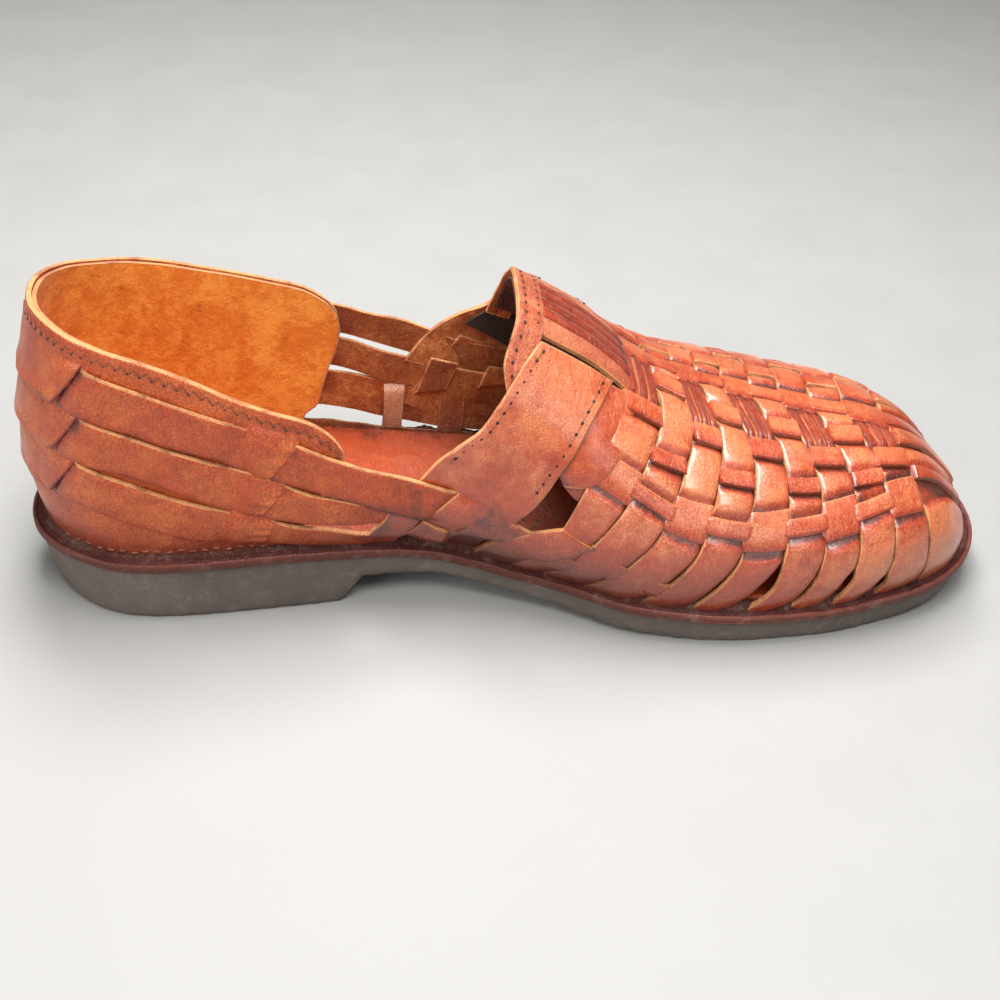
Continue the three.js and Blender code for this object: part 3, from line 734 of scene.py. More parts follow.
def rubber(name):
    """Moulded and buffed rubber: warm grey with darker grit, pale scuffs and pits."""
    shared = shared_groups()
    material, n, shader = fresh(name)
    where = n.where()
    slow = n.noise(where, 40.0, 5.0, 0.65, 0.4)
    grit = n.noise(where, 900.0, 4.0, 0.75)
    buffed = n.add("ShaderNodeMapping", Vector=where)
    buffed.inputs["Scale"].default_value = (0.35, 0.35, 1.6)
    lines = n.noise(buffed.outputs[0], 420.0, 4.0, 0.6, 0.4)
    pits = n.add("ShaderNodeTexVoronoi", Vector=where, Scale=420.0)
    pit = n.spread(pits.outputs["Distance"], 0.05, 0.2, 1.0, 0.0)
    base = n.mix(n.spread(slow, 0.3, 0.7), (0.095, 0.076, 0.063), (0.128, 0.104, 0.088))
    base = n.mix(n.spread(grit, 0.4, 0.75, 0.0, 0.35), base, (0.065, 0.057, 0.05))
    base = n.mix(n.maths("MULTIPLY", pit, n.spread(slow, 0.5, 0.7, 0.0, 0.35)), base, (0.05, 0.045, 0.04))
    scuff = n.spread(n.noise(buffed.outputs[0], 150.0, 6.0, 0.7, 1.2), 0.58, 0.74)
    base = n.mix(n.maths("MULTIPLY", scuff, 0.22), base, (0.25, 0.235, 0.21))
    dusty = placed(n, shared["dust"], Amount=0.25)
    base = n.mix(dusty.outputs["Mask"], base, (0.36, 0.34, 0.31))
    n.feed(shader, "Base Color", base)
    n.feed(shader, "Roughness", n.spread(grit, 0.2, 0.8, 0.68, 0.9))
    height = n.maths("SUBTRACT", n.total((grit, 0.5), (lines, 0.7)), n.maths("MULTIPLY", pit, 0.6))
    n.bump(shader, height, 0.22, 0.0004)
    return material


def elastic(name):
    """Ribbed elastic webbing: dark cords side by side with lint between."""
    material, n, shader = fresh(name)
    spot = n.attribute("place", "Vector")
    parts = n.add("ShaderNodeSeparateXYZ", Vector=spot)
    ribs = n.maths("SINE", n.maths("MULTIPLY", parts.outputs["X"], 2 * math.pi / 1.1))
    weft = n.maths("SINE", n.maths("MULTIPLY", parts.outputs["Y"], 2 * math.pi / 0.55))
    where = n.where()
    lint = n.noise(where, 900.0, 5.0, 0.7)
    # painted shade between the cords, lighter on their tops
    base = n.mix(n.spread(ribs, -1.0, 1.0), (0.012, 0.009, 0.008), (0.055, 0.042, 0.036))
    base = n.mix(n.spread(lint, 0.55, 0.8, 0.0, 0.6), base, (0.16, 0.13, 0.11))
    n.feed(shader, "Base Color", base)
    n.feed(shader, "Roughness", n.spread(lint, 0.2, 0.8, 0.75, 0.95))
    height = n.maths("ADD", ribs, n.maths("MULTIPLY", weft, 0.35))
    n.bump(shader, height, 0.6, 0.0003)
    return material


def thread(name, dark, light):
    """Twisted waxed thread."""
    material, n, shader = fresh(name)
    where = n.where()
    ply = n.noise(where, 2200.0, 3.0, 0.6)
    n.feed(shader, "Base Color", n.mix(n.spread(ply, 0.35, 0.7), dark, light))
    n.feed(shader, "Roughness", n.spread(ply, 0.2, 0.8, 0.5, 0.75))
    n.bump(shader, ply, 0.5, 0.0002)
    return material


def paper(name, tint):
    """Plain pale studio floor with the faintest mottling."""
    material, n, shader = fresh(name)
    where = n.where()
    faint = n.noise(where, 30.0, 4.0, 0.6)
    low = [c * 0.97 for c in tint]
    n.feed(shader, "Base Color", n.mix(n.spread(faint, 0.3, 0.7), low, tint))
    n.feed(shader, "Roughness", n.spread(faint, 0.2, 0.8, 0.6, 0.7))
    return material


# each leather's painted shade colour in the folds, the colour of its body and its painted highlight colour on
# the crests, and its settings; the straps and panels take their colours from the sidebar
HIDES = {
    "strap": (None, None, None, {}),
    "panel": (None, None, None, {"rough": 0.36, "ripple": 0.5, "cell": 1100.0}),
    "counter": (None, (0.42, 0.049, 0.0035), (0.60, 0.125, 0.016),
                {"rough": 0.42, "coat": 0.3, "ripple": 0.8, "cell": 800.0}),
    "strand": ((0.054, 0.0051, 0.0012), (0.24, 0.022, 0.006), (0.40, 0.055, 0.014),
               {"rough": 0.34, "coat": 0.4, "pale": (0.42, 0.12, 0.05)}),
    "tab": ((0.06, 0.007, 0.003), (0.25, 0.020, 0.003), (0.42, 0.048, 0.008),
            {"rough": 0.32, "coat": 0.4, "ripple": 0.5}),
    "border": ((0.10, 0.015, 0.008), (0.40, 0.080, 0.028), (0.58, 0.18, 0.085),
               {"rough": 0.45, "coat": 0.15, "ripple": 0.4}),
    "insole": ((0.12, 0.014, 0.006), (0.66, 0.080, 0.007), (0.80, 0.13, 0.012),
               {"rough": 0.5, "coat": 0.1, "ripple": 0.5, "crease": 0.6, "dust": 0.15}),
    "dark_lining": ((0.02, 0.008, 0.006), (0.06, 0.022, 0.016), (0.12, 0.05, 0.035),
                    {"rough": 0.55, "coat": 0.05, "pale": (0.13, 0.05, 0.035), "under": 0.0}),
    "welt": ((0.03, 0.006, 0.007), (0.10, 0.017, 0.016), (0.24, 0.05, 0.035),
             {"rough": 0.5, "coat": 0.15, "cell": 1300.0, "pale": (0.26, 0.075, 0.04), "dust": 0.35}),
    "feather": ((0.03, 0.008, 0.006), (0.10, 0.03, 0.02), (0.20, 0.08, 0.055),
                {"rough": 0.75, "coat": 0.0, "ripple": 2.0, "crease": 1.6, "bump": 0.9, "dust": 0.7,
                 "blotch": 1.3}),
}
# how every other finish is made
OTHERS = {
    "suede": lambda: suede("lining_suede", (0.32, 0.07, 0.006), (0.70, 0.19, 0.014), (0.86, 0.34, 0.05)),
    "rubber": lambda: rubber("sole_rubber"),
    "elastic": lambda: elastic("gore_elastic"),
    "thread": lambda: thread("dark_thread", (0.14, 0.03, 0.014), (0.30, 0.10, 0.05)),
    "pale_thread_and_glint": lambda: thread("pale_thread_and_glint", (0.12, 0.03, 0.02), (0.36, 0.16, 0.1)),
    "hole": lambda: thread("painted_hole_shade", (0.008, 0.003, 0.002), (0.03, 0.01, 0.006)),
}
FINISHES = {}


def finish_of(key):
    """One material of each kind, made when first asked for."""
    if key not in FINISHES:
        if key in HIDES:
            looks = bpy.context.scene.sandal_looks
            *colours, settings = HIDES[key]
            common = (looks.shadow, looks.body, looks.glow)
            dyes = [own or tuple(shared) for own, shared in zip(colours, common)]
            FINISHES[key] = leather(key if key == "dark_lining" else key + "_leather", *dyes, **settings)
        else:
            FINISHES[key] = OTHERS[key]()
    return FINISHES[key]


# -------------------- the sole
def outline(inset, count=260):
    """Closed plan outline drawn in by inset: medial edge from heel to toe, then the lateral edge back."""
    x = bunched(count, inset, SOLE_LENGTH - inset)
    medial = np.stack([x, plan_edge(x, MEDIAL, inset)], -1)
    lateral = np.stack([x, plan_edge(x, LATERAL, inset)], -1)
    return np.concatenate([medial, lateral[::-1][1:-1]])


def edge_sweep(batch, profile, deep, cut, count=260, shake=None):
    """Carries a profile of (inset, height function) rows round the plan outline as one closed band."""
    rows = []
    for k, (inset, height) in enumerate(profile):
        loop = outline(inset, count)
        z = height(loop[:, 0])
        if shake is not None:
            z = z + shake(loop, k)
        rows.append(np.concatenate([loop, z[:, None]], 1))
    grid = np.stack(rows)
    n, m = grid.shape[:2]
    batch.add(grid, quads(n, m, wrap=True)[:, ::-1], np.repeat(cut, m), np.repeat(deep, m))


def flat_cap(batch, inset, height, up, deep, columns, count):
    """Top or underside of a sole layer: straight across from the medial edge to the lateral edge."""
    x = bunched(count, inset, SOLE_LENGTH - inset)
    low, high = plan_edge(x, MEDIAL, inset), plan_edge(x, LATERAL, inset)
    share = np.linspace(0, 1, columns + 1)
    y = low[:, None] + (high - low)[:, None] * share
    faces = quads(len(x), columns + 1)
    batch.add(joined(x[:, None], y, height(x[:, None])), faces if up else faces[:, ::-1], deep=deep)


def tread_height(x):
    """Height of the rubber's underside at x."""
    return np.interp(x, TREAD[:, 0], TREAD[:, 1])


def tread_pattern(x, y, depth):
    """Shallow chevron grooves under the forefoot and heel, fading out in the waist and near the edge."""
    lane = np.abs(((x + 0.55 * np.abs(y + 2)) / 8.0) % 1.0 - 0.5)
    groove = ease(lane, 0.32, 0.40)
    there = window(x, 215, 38, 8) + window(x, 46, 34, 6)
    inside = ease(np.minimum(y - plan_edge(x, MEDIAL, 0), plan_edge(x, LATERAL, 0) - y), 5, 8)
    return depth * groove * there * inside


def make_outsole():
    """Rubber unit: grooved flat underside, chamfered foot and a buffed, slightly hollow wall."""
    batch = Batch()
    top = lambda x: welt_height(x) - MIDSOLE_THICK - 0.15
    under = lambda x: 5.0 * (1 - ease(x, 0, 30))
    # inset, share of the wall's height, lift of the chamfer, share of the heel's slope under the foot
    rows = [(3.4, 0.0, 0.0, 1.0), (2.5, 0.02, 0.15, 0.75), (2.0, 0.08, 0.54, 0.55), (1.75, 0.4, 0.0, 0.3),
            (1.6, 0.75, 0.0, 0.12), (1.3, 1.0, 0.0, 0.0)]
    grid = []
    for k, (inset, share, lift, leaning) in enumerate(rows):
        x, y = outline(inset, SOLE_STEPS).T
        x = x + under(x) * leaning
        rough = 0.10 * np.sin(x * 0.9 + y * 0.7) + 0.08 * np.sin(x * 2.3 - y * 1.9)
        waist = window(x, 165, 30, 20) * window(k, 1.0, 0.6, 1.0)
        nick = 0.5 * waist * np.maximum(0, np.sin(x * 1.15 + 0.8 * np.sin(x * 0.4)))
        z = tread_height(x) + lift + (top(x) - tread_height(x)) * share + rough * (0 < k < 5) + nick
        grid.append(joined(x, y, np.maximum(z, 0)))
    batch.add(np.stack(grid), quads(len(rows), len(x), wrap=True)[:, ::-1], deep=0.6)
    x = bunched(SOLE_STEPS, 3.4, SOLE_LENGTH - 3.4)
    x_low = x + under(x)
    low, high = plan_edge(x, MEDIAL, 3.4), plan_edge(x, LATERAL, 3.4)
    y = low[:, None] + (high - low)[:, None] * np.linspace(0, 1, 41)
    x_low = x_low[:, None]
    floor = joined(x_low, y, np.maximum(tread_height(x_low), 0) + tread_pattern(x_low, y, 1.1))
    batch.add(floor, quads(SOLE_STEPS, 41)[:, ::-1], deep=0.6)
    flat_cap(batch, 1.3, top, True, 0.5, 8, SOLE_STEPS)
    batch.to_object("outsole_rubber", "rubber", "outsole", sharp=50)


def make_welt():
    """Leather midsole: a dark top with a scored line and a fine raised rim, and a raw fibrous edge."""
    batch = Batch()
    low = lambda x: welt_height(x) - MIDSOLE_THICK
    at = lambda share, lift=0.0: (lambda x: low(x) + MIDSOLE_THICK * share + lift)
    profile = [(1.0, at(0.0)), (0.35, at(0.04)), (0.05, at(0.25)), (0.25, at(0.5)), (0.0, at(0.72)),
               (0.12, at(0.95)), (0.5, at(1.0, 0.18)), (1.1, at(1.0, 0.12)), (1.5, at(1.0, -0.25)),
               (1.9, at(1.0, -0.02)), (3.0, at(1.0, 0.02)), (9.0, at(1.0))]
    # shading level of each row: a painted highlight on the raised rim, painted shade in the scored line
    # beside it and low on the edge
    deep = [0.2, 0.35, 0.6, 0.35, 0.6, 0.7, 1.0, 0.6, 0.0, 0.45, 0.3, 0.1]
    cut = [0.2, 0.35, 0.5, 0.35, 0.55, 0.5, 0.2, 0, 0, 0, 0, 0]

    def shake(loop, k):
        x, y = loop.T
        wave = np.sin(x * 0.55 + y * 0.31) + 0.6 * np.sin(x * 1.7 - y * 1.1)
        return 0.07 * wave * (k < 8)

    edge_sweep(batch, profile, deep, cut, SOLE_STEPS, shake)
    flat_cap(batch, 9.0, welt_height, True, 0.2, 8, SOLE_STEPS)
    flat_cap(batch, 1.0, low, False, 0.3, 8, SOLE_STEPS)
    batch.to_object("midsole_welt", "welt", "midsole", sharp=60)


def make_insole():
    """Footbed: a thin leather board with a soft edge, lightly dished under the heel and ball."""
    batch = Batch()
    inset = FEATHER + 1.9
    base = lambda x: welt_height(x) + GLUE_LINE

    def dish(x, y):
        heel = -0.7 * window(x, 42, 8, 26) * window(y, 0, 4, 20)
        ball = -0.8 * window(x, 208, 10, 34) * window(y, -2, 8, 26)
        mottled = 0.10 * np.sin(x * 0.31 + 1.3 * np.sin(y * 0.12)) * np.sin(y * 0.27)
        return base(x) + INSOLE_THICK + heel + ball + mottled

    # painted shade: the edge's rows darken towards the bottom
    edge_sweep(batch, [(inset + 0.6, base), (inset, lambda x: base(x) + 0.4),
                       (inset, lambda x: base(x) + INSOLE_THICK - 0.5),
                       (inset + 0.7, lambda x: base(x) + INSOLE_THICK)],
               [0.2, 0.3, 0.5, 0.5], [0.5, 0.6, 0.4, 0], 260)
    x = bunched(260, inset + 0.7, SOLE_LENGTH - inset - 0.7)
    low, high = plan_edge(x, MEDIAL, inset + 0.7), plan_edge(x, LATERAL, inset + 0.7)
    share = np.linspace(0, 1, 41)
    y = low[:, None] + (high - low)[:, None] * share
    rim = np.minimum(share, 1 - share) * 2
    # painted shade: darker towards the edge, where the footbed meets the upper
    shade = np.tile(0.32 + 0.34 * ease(rim, 0.02, 0.4), len(x))
    batch.add(joined(x[:, None], y, dish(x[:, None], y)), quads(260, 41), deep=shade)
    flat_cap(batch, inset + 0.6, base, False, 0.3, 6, 260)
    batch.to_object("insole_board", "insole", "insole", sharp=50)


def make_feather_band():
    """Rough glued fillet where the upper is drawn down onto the welt, heavier round the forefoot."""
    batch = Batch()
    chance = np.random.default_rng(7)
    lumps = chance.normal(size=(6, 12))

    def shake(loop, k):
        turn = loop[:, 0] * 0.9 + loop[:, 1] * 0.8
        wave = sum(size * np.sin(turn * (0.35 + 0.23 * f) + shift * 3)
                   for f, (size, shift) in enumerate(zip(lumps[k % 6], lumps[(k + 1) % 6])))
        heavy = 0.35 + 0.65 * ease(loop[:, 0], 95, 125)
        return 0.16 * wave * heavy * (0 < k < 5)

    up = lambda h: (lambda x: welt_height(x) + h * (0.45 + 0.55 * ease(x, 92, 120)))
    insets, heights = (2.7, 3.1, 3.7, 4.0, 4.6, 6.0), (-0.2, 0.55, 1.5, 2.5, 3.3, 2.0)
    profile = [(inset, up(height)) for inset, height in zip(insets, heights)]
    # shading level of each row: painted shade where the fillet meets the welt and where it goes under the
    # upper
    edge_sweep(batch, profile, [0.15, 0.55, 0.75, 0.6, 0.35, 0.1], [0, 0.1, 0.2, 0.2, 0.1, 0], 420, shake)
    s, z = between(to_wall([(50, 16), (90, 15), (134, 13)], 1.0),
                   to_wall([(50, 27.5), (82, 26.4), (105, 22.3), (134, 17.5)], 1.0), 70, shares(10.0, 2.0))
    sheet(batch, round_wall, s, z, -2.2 + 0.2 * np.sin(s * 0.6), 1.0, deep=0.45, tone=0.3)
    batch.to_object("feather_band", "feather", "upper", sharp=60)


# -------------------- the heel counter
# station, height of the counter's rim on each side
RIM = {
    MEDIAL: [(4.6, 91.4), (9.5, 91.8), (24.5, 90.0), (34.5, 87.0), (44.5, 83.3), (54.5, 78.8),
             (64.5, 73.5), (74.5, 69.0), (84.5, 65.2), (89.0, 62.0), (92.2, 58.2), (93.8, 54.6)],
    LATERAL: [(4.6, 91.4), (9.5, 89.6), (22.5, 86.0), (39.5, 84.0), (51.0, 81.8), (62.5, 79.4),
              (72, 77.0), (80.5, 74.6), (86.0, 71.2), (89.5, 67.6), (91.4, 63.6), (91.9, 59.6)],
}
# front edge of the counter and its lining: station, height
FRONT = {
    MEDIAL: [(80, 13), (80, 28), (84.2, 32.5), (85.8, 38.3), (88.3, 44.5), (91.5, 49.5), (93.8, 54.6)],
    LATERAL: [(80, 13), (80, 28), (84.2, 32.5), (85.8, 38.3), (88.3, 46.7), (90.8, 53.5), (91.9, 59.6)],
}
# the three straps of each side: upper edge, lower edge, where the strap passes under its bridge
STRAPS = {MEDIAL: [
    ([(25, 83.5), (44.5, 75), (64.5, 66.5), (82, 59), (90, 54.8), (100, 50.8), (110, 48.4), (116, 46.6),
      (125.5, 43.4), (131, 41)],
     [(17, 70.5), (34.5, 65), (44.5, 60.5), (54.5, 57), (60.5, 55), (72.5, 48.5), (84.5, 44), (95.5, 40),
      (106, 36.2), (116, 33.3), (123, 31)]),
    ([(24, 68.5), (34.5, 64), (44.5, 59.5), (54.5, 55.5), (67.5, 50.5), (78, 46), (84.5, 43), (96, 39.6),
      (110, 35)],
     [(16.5, 55.5), (34.5, 51), (44.5, 46.5), (56.5, 40.5), (70, 35.5), (84.5, 31.7), (100, 31),
      (109, 28)]),
    ([(22.5, 54.2), (34.5, 48.5), (44.5, 43.7), (56.5, 39), (74.5, 33), (86.5, 29.8), (99.5, 26),
      (108.5, 24)],
     [(14.5, 40.2), (24.5, 39), (34.5, 34), (44.5, 29.5), (51.5, 27), (59.5, 26), (72, 24.5), (84, 22.2),
      (98, 21.2), (108, 19.5)]),
], LATERAL: [
    ([(25, 82.0), (44.5, 77.5), (64.5, 72.5), (82, 68.5), (90, 66.6), (100, 63), (110, 60), (120, 55.8),
      (130, 51), (139, 48.5), (152, 45)],
     [(17, 70.5), (34.5, 67), (54.5, 62), (72.5, 58.5), (91.7, 56.3), (100, 53.3), (110, 49.2),
      (122, 44.5), (137, 39.6), (150, 36)]),
    ([(24, 68.5), (34.5, 65), (54.5, 59.8), (78, 56), (91.3, 54.4), (100, 51.5), (109, 47.9), (118, 45.0),
      (128, 41.6), (139, 38.5), (152, 34.5)],
     [(16.5, 55.5), (34.5, 52.5), (56.5, 48.5), (72, 46.8), (87.5, 45.2), (100, 40.8), (113.3, 36.2),
      (124, 32.4), (137, 28.4), (150, 25)]),
    ([(22.5, 54.2), (34.5, 50.5), (56.5, 45.6), (74.5, 43.8), (87, 42.8), (104, 39), (114, 35.6),
      (124, 32), (139, 28.2), (152, 25)],
     [(14.5, 40.2), (34.5, 37), (59.5, 34), (72, 32.6), (84.2, 30.8), (93.3, 28.6), (104, 25.5),
      (118, 21.8), (137, 18), (150, 16)]),
]}
# the flaps of the counter that bridge the straps: rear edge, front edge
BRIDGES = {MEDIAL: [
    ([(64, 68.8), (65, 57), (68.5, 48.2)], [(82.5, 61.0), (77.5, 54.4), (72.0, 47.6)]),
    ([(60.5, 54.6), (62.5, 46), (63.5, 35.4)], [(78.5, 46.4), (74, 41.2), (69.5, 35.2)]),
    ([(57.5, 40.4), (58.6, 33), (59.3, 24.0)], [(75.0, 33.8), (73, 31.0), (70.5, 25.0)]),
], LATERAL: [
    ([(63, 73.8), (64, 67), (66, 58.4)], [(79.5, 69.6), (76.0, 64.0), (73.0, 58.0)]),
    ([(60.5, 59.6), (62, 54), (63.5, 47.0)], [(77, 56.6), (74, 51.2), (71, 46.2)]),
    ([(57.5, 46.0), (58.6, 40), (60, 33.4)], [(74.5, 44.2), (73, 38.0), (70.5, 32.6)]),
]}

# height of each slit's lower end, and the station where the slit ends
SLIT_ENDS = [(70.8, 17.0), (55.8, 16.5), (40.4, 14.5)]
# upright strips at the waist: side, rear edge, front edge (station, height), then how each stands: rise low
# down, bulge at mid height, change higher up and between which heights; tone, which shifts its dye and its
# shading
UPRIGHTS = [
    (MEDIAL, [(96, 15), (98, 21), (101.4, 28), (103.7, 31), (107, 37.5)],
     [(104, 14), (106, 19), (110.8, 26), (113, 30), (116, 36)], (-0.55, 0.5, -1.3, 34, 42), -0.5),
    (LATERAL, [(103.5, 13), (104.8, 24), (105.5, 43)],
     [(110.5, 13), (111, 24), (112.5, 43)], (-1.9, 0.0, 3.0, 34, 40), 0.9),
    (LATERAL, [(121.5, 13), (122.7, 22), (123.5, 43)],
     [(129, 13), (130.5, 22), (131.5, 43)], (-2.2, 0.0, 2.6, 34, 40), -0.4),
    (LATERAL, [(113.5, 29), (115.5, 35), (120, 47)],
     [(122.5, 27), (124, 32.8), (128.5, 44)], (1.2, 0.0, -4.5, 31, 35), -0.7),
    (LATERAL, [(132.5, 22), (133.6, 28.6), (138.5, 42)],
     [(141, 20), (142.5, 27), (147, 40)], (1.2, 0.0, -4.5, 31, 35), 0.0),
]


def rim_height(s):
    """Height of the counter's rim at girth s, from the table of its own side."""
    medial, lateral = (to_wall(RIM[side], side) for side in SIDES)
    rows = np.concatenate([medial[::-1], lateral])
    rows = rows[np.concatenate([[True], np.diff(rows[:, 0]) > 0.3])]
    return through(rows[:, 0], rows[:, 1], s)


def counter_grid(count, rows, low, less=0.0):
    """Grid round the heel between the two front edges, from the feather up to the rim."""
    share = np.linspace(0, 1, count)[:, None]
    up = np.concatenate([np.linspace(0, 0.96, rows - 4), [0.975, 0.988, 0.995, 1.0]])[None, :]
    a, b = (curve(to_wall(FRONT[side], side), 60) for side in SIDES)
    key = np.linspace(0, 1, 60)
    s = np.interp(up, key, a[:, 0]) * (1 - share) + np.interp(up, key, b[:, 0]) * share
    near = np.interp(up, key, a[:, 1]) * (1 - share) + np.interp(up, key, b[:, 1]) * share
    plain = low + (rim_height(s) - less - low) * up
    ends = plain[[0, -1]]
    drawn = (near[[0, -1]] - less * up) - ends
    pull = np.stack([1 - ease(share, 0.0, 0.08), 1 - ease(1 - share, 0.0, 0.08)])
    return s, plain + drawn[:1] * pull[0] + drawn[1:] * pull[1]


def back_relief(s, z):
    """Straps hidden under the counter's back show as three soft steps that run round from slit to slit."""
    total = 0.0
    for level, reach in SLIT_ENDS:
        girth = abs(float(girth_at(reach, LATERAL)))
        line = level + 1.2 * np.cos(np.clip(s / girth, -1, 1) * np.pi / 2) - 0.8
        there = window(s, 0, girth - 1.5, 3.0)
        above = z - line
        step = 1.35 * np.exp(-np.maximum(above, 0) / 4.2) * ease(above, -0.5, 0.35)
        total = total + there * (step - 0.35 * np.exp(-((above + 1.1) / 0.9) ** 2))
    return total


def make_counter():
    """Counter shell of one piece of leather round the heel, open at the front, with a raw double rim."""
    batch = Batch()
    s, z = counter_grid(300, 70, 14.0)
    dent = 0.25 * np.sin(s * 0.11 + 0.6) * np.sin(z * 0.16)
    rise = -1.5 + back_relief(s, z) + dent * 0.6
    # painted shade: darker low down by the feather and in a line under each step of the back
    shade = 0.66 - 0.22 * window(z, 14, 8, 10) + 0.05 * np.sin(s * 0.07)
    for level, reach in SLIT_ENDS:
        girth = abs(float(girth_at(reach, LATERAL)))
        shade = shade - 0.4 * window(s, 0, girth, 3) * np.exp(-((z - level + 0.9) / 0.8) ** 2)
    sheet(batch, round_wall, s, z, rise, COUNTER_THICK, deep=shade, bevel=0.35)
    batch.to_object("counter_shell", "counter", "upper", sharp=60)


def make_lining():
    """Suede lining inside the counter, its top edge standing beside the shell's as a second raw line."""
    batch = Batch()
    s, z = counter_grid(260, 50, 14.0, less=0.5)
    # darker in one patch on the lateral side, a little lighter near the rim
    dark_patch = window(s, girth_at(66, LATERAL), 1, 14) * window(z, 60, 3, 16)
    shade = 0.5 - 0.45 * dark_patch + 0.1 * window(z, 80, 10, 10)
    sheet(batch, round_wall, s, z, -2.9, FLAP_THICK, deep=shade, bevel=0.3)
    batch.to_object("counter_lining", "suede", "upper", sharp=60)


def strap_rise(x, back, bridge, over=0.15, under=-0.9):
    """A counter strap comes up out of its slit, dips under its bridge and runs on over the waist."""
    rise = -1.6 + (over + 1.6) * ease(x, back - 0.8, back + 2.2)
    dip = ease(x, bridge[0] - 3.5, bridge[0] + 1.5) * (1 - ease(x, bridge[1] - 3, bridge[1] + 2))
    return rise - (over - under) * dip


def make_straps():
    """Three broad straps a side, out of the slits in the counter, under its bridges and on to the waist."""
    batch = Batch()
    chance = np.random.default_rng(11)
    sinks, darkens = (0.0, 1.3, 0.6), (0.26, 0.34, 0.40)
    for side in SIDES:
        for k, (upper, lower) in enumerate(STRAPS[side]):
            bridge_rear, bridge_fore = (np.array(edge)[::-1] for edge in BRIDGES[side][k])
            cross = shares(13.0, 1.0, 0.75)
            x, z = between(upper, lower, 110, cross)
            z = z + (0.55 if k else 0.0) * (1 - cross) * (1 - ease(x, 70, 84))
            back = upper[0][0] + (lower[0][0] - upper[0][0]) * cross
            rear = np.interp(z, bridge_rear[:, 1], bridge_rear[:, 0])
            fore = np.interp(z, bridge_fore[:, 1], bridge_fore[:, 0])
            rise = strap_rise(x, back, (rear, fore)) + (0.3 - 0.75 * cross ** 1.5) * (1 - ease(x, 80, 92))
            # ahead of the counter a strap stands up, then sinks into the weave of the waist
            rise = rise + 0.35 * (1 - k * 0.5) * ease(x, 84, 92) - sinks[k] * ease(x, 96, 104)
            if side == LATERAL:
                rise = rise - 1.2 * ease(x, 112, 126)
            elif k == 0:
                # the top medial strap tucks under the side band
                tuck = np.interp(z, [33.3, 40.6, 45.6], [116.7, 122.7, 127.6])
                rise = rise + 0.25 * ease(x, 100, 110) - 1.7 * ease(x, tuck - 3.5, tuck + 1.5)
            wave = 0.12 * np.sin(x * 0.35 + k) * np.sin(cross * 5 + side)
            # painted shade in the slit, ahead of the bridge, along the lower edge and towards the waist, and
            # a painted highlight along the middle
            shade = 0.63 + 0.1 * np.sin(cross * np.pi) - 0.5 * (1 - ease(x, back + 0.5, back + 4))
            shade = shade - 0.3 * window(x, fore, 0.5, 3) - 0.22 * ease(cross, 0.8, 1.0)
            shade = shade - darkens[k] * ease(x, 88, 116)
            sheet(batch, round_wall, girth_at(x, side), z, rise + wave, strap_thick(), deep=shade,
                  tone=chance.uniform(-0.6, 0.6), bevel=0.42, raw=(1.0, 0.1))
    batch.to_object("side_straps", "counter", "upper")


def make_bridges():
    """Flaps of the counter under which the straps pass, pulled down at their ends and bowed between."""
    batch = Batch()
    for side in SIDES:
        for k, (rear, fore) in enumerate(BRIDGES[side]):
            cross = shares(14.0, 0.9)
            x, z = between(rear, fore, 40, cross)
            along = np.linspace(0, 1, 40)[:, None]
            bow = np.sin(np.pi * np.clip(along, 0, 1)) ** 0.5
            ends = ease(np.minimum(along, 1 - along), 0.0, 0.16)
            rise = -1.45 + 0.45 * ends + 1.45 * bow * ease(cross, 0.0, 0.35)
            fan = 0.22 * np.sin(along * np.pi * 7 + cross * 2.5) * ease(cross, 0.35, 1.0)
            # painted shade at the pulled-down ends and along the rear edge, a painted highlight where the
            # flap bows out towards the front
            shade = 0.62 - 0.2 * (1 - bow) + 0.1 * ease(cross, 0.4, 1)
            shade = shade - 0.25 * window(cross, 0.0, 0.02, 0.12)
            sheet(batch, round_wall, girth_at(x, side), z, rise + fan, FLAP_THICK, deep=shade,
                  tone=0.25 * (-1) ** k, bevel=0.25, ends=False, raw=(0.0, 0.3))
    batch.to_object("counter_bridges", "counter", "upper")


def make_tongues():
    """Crisp lips of the counter behind each slit: they stand proud where the strap comes out from under
    them and sink back into the shell towards the heel."""
    batch = Batch()
    for side in SIDES:
        for k, (upper, lower) in enumerate(STRAPS[side]):
            slit = to_wall([upper[0], lower[0]], side)
            slit = np.array([slit[0] + (slit[0] - slit[1]) * 0.12, slit[1] + (slit[1] - slit[0]) * 0.10])
            rear = slit - (side * 15.0, -1.6)
            cross = shares(15.0, 0.8, 0.3)
            s, z = between(rear, slit, 26, cross)
            along = np.linspace(0, 1, 26)[:, None]
            bend = 0.9 * np.sin(np.pi * along) * ease(cross, 0.5, 1.0)
            ends = ease(np.minimum(along * 0.8, 1 - along), 0.0, 0.14)
            lift = ease(cross, 0.1, 1.0) ** 1.3
            rise = -1.45 + (1.15 + 0.55 * along) * lift * ends
            pulls = 0.10 * np.sin(along * 30 + cross * 5) * lift
            # painted shade along the front edge, at the slit
            shade = 0.66 - 0.55 * ease(cross, 0.93, 1.0) + 0.06 * np.sin(along * 9)
            sheet(batch, round_wall, s + side * bend, z, rise + pulls, FLAP_THICK, deep=shade,
                  tone=0.2 * (-1) ** k, bevel=0.2, ends=False, raw=(0.0, 0.12))
    batch.to_object("counter_tongues", "counter", "upper", sharp=50)


def make_uprights():
    """Upright strips ahead of the counter, with the waist straps woven through them."""
    batch = Batch()
    for side, rear, fore, (low, bulge, change, start, end), dye_and_shade in UPRIGHTS:
        cross = shares(7.0, 0.9)
        x, z = between(rear, fore, 36, cross)
        rise = low + bulge * window(z, 29, 3, 6) + change * ease(z, start, end)
        # painted highlight along the middle of each strip, painted shade towards its edges
        shade = 0.30 + 0.15 * np.sin(np.pi * cross)
        sheet(batch, round_wall, girth_at(x, side), z, rise, 1.4, deep=shade, tone=dye_and_shade)
    batch.to_object("cross_strips", "strap", "upper")


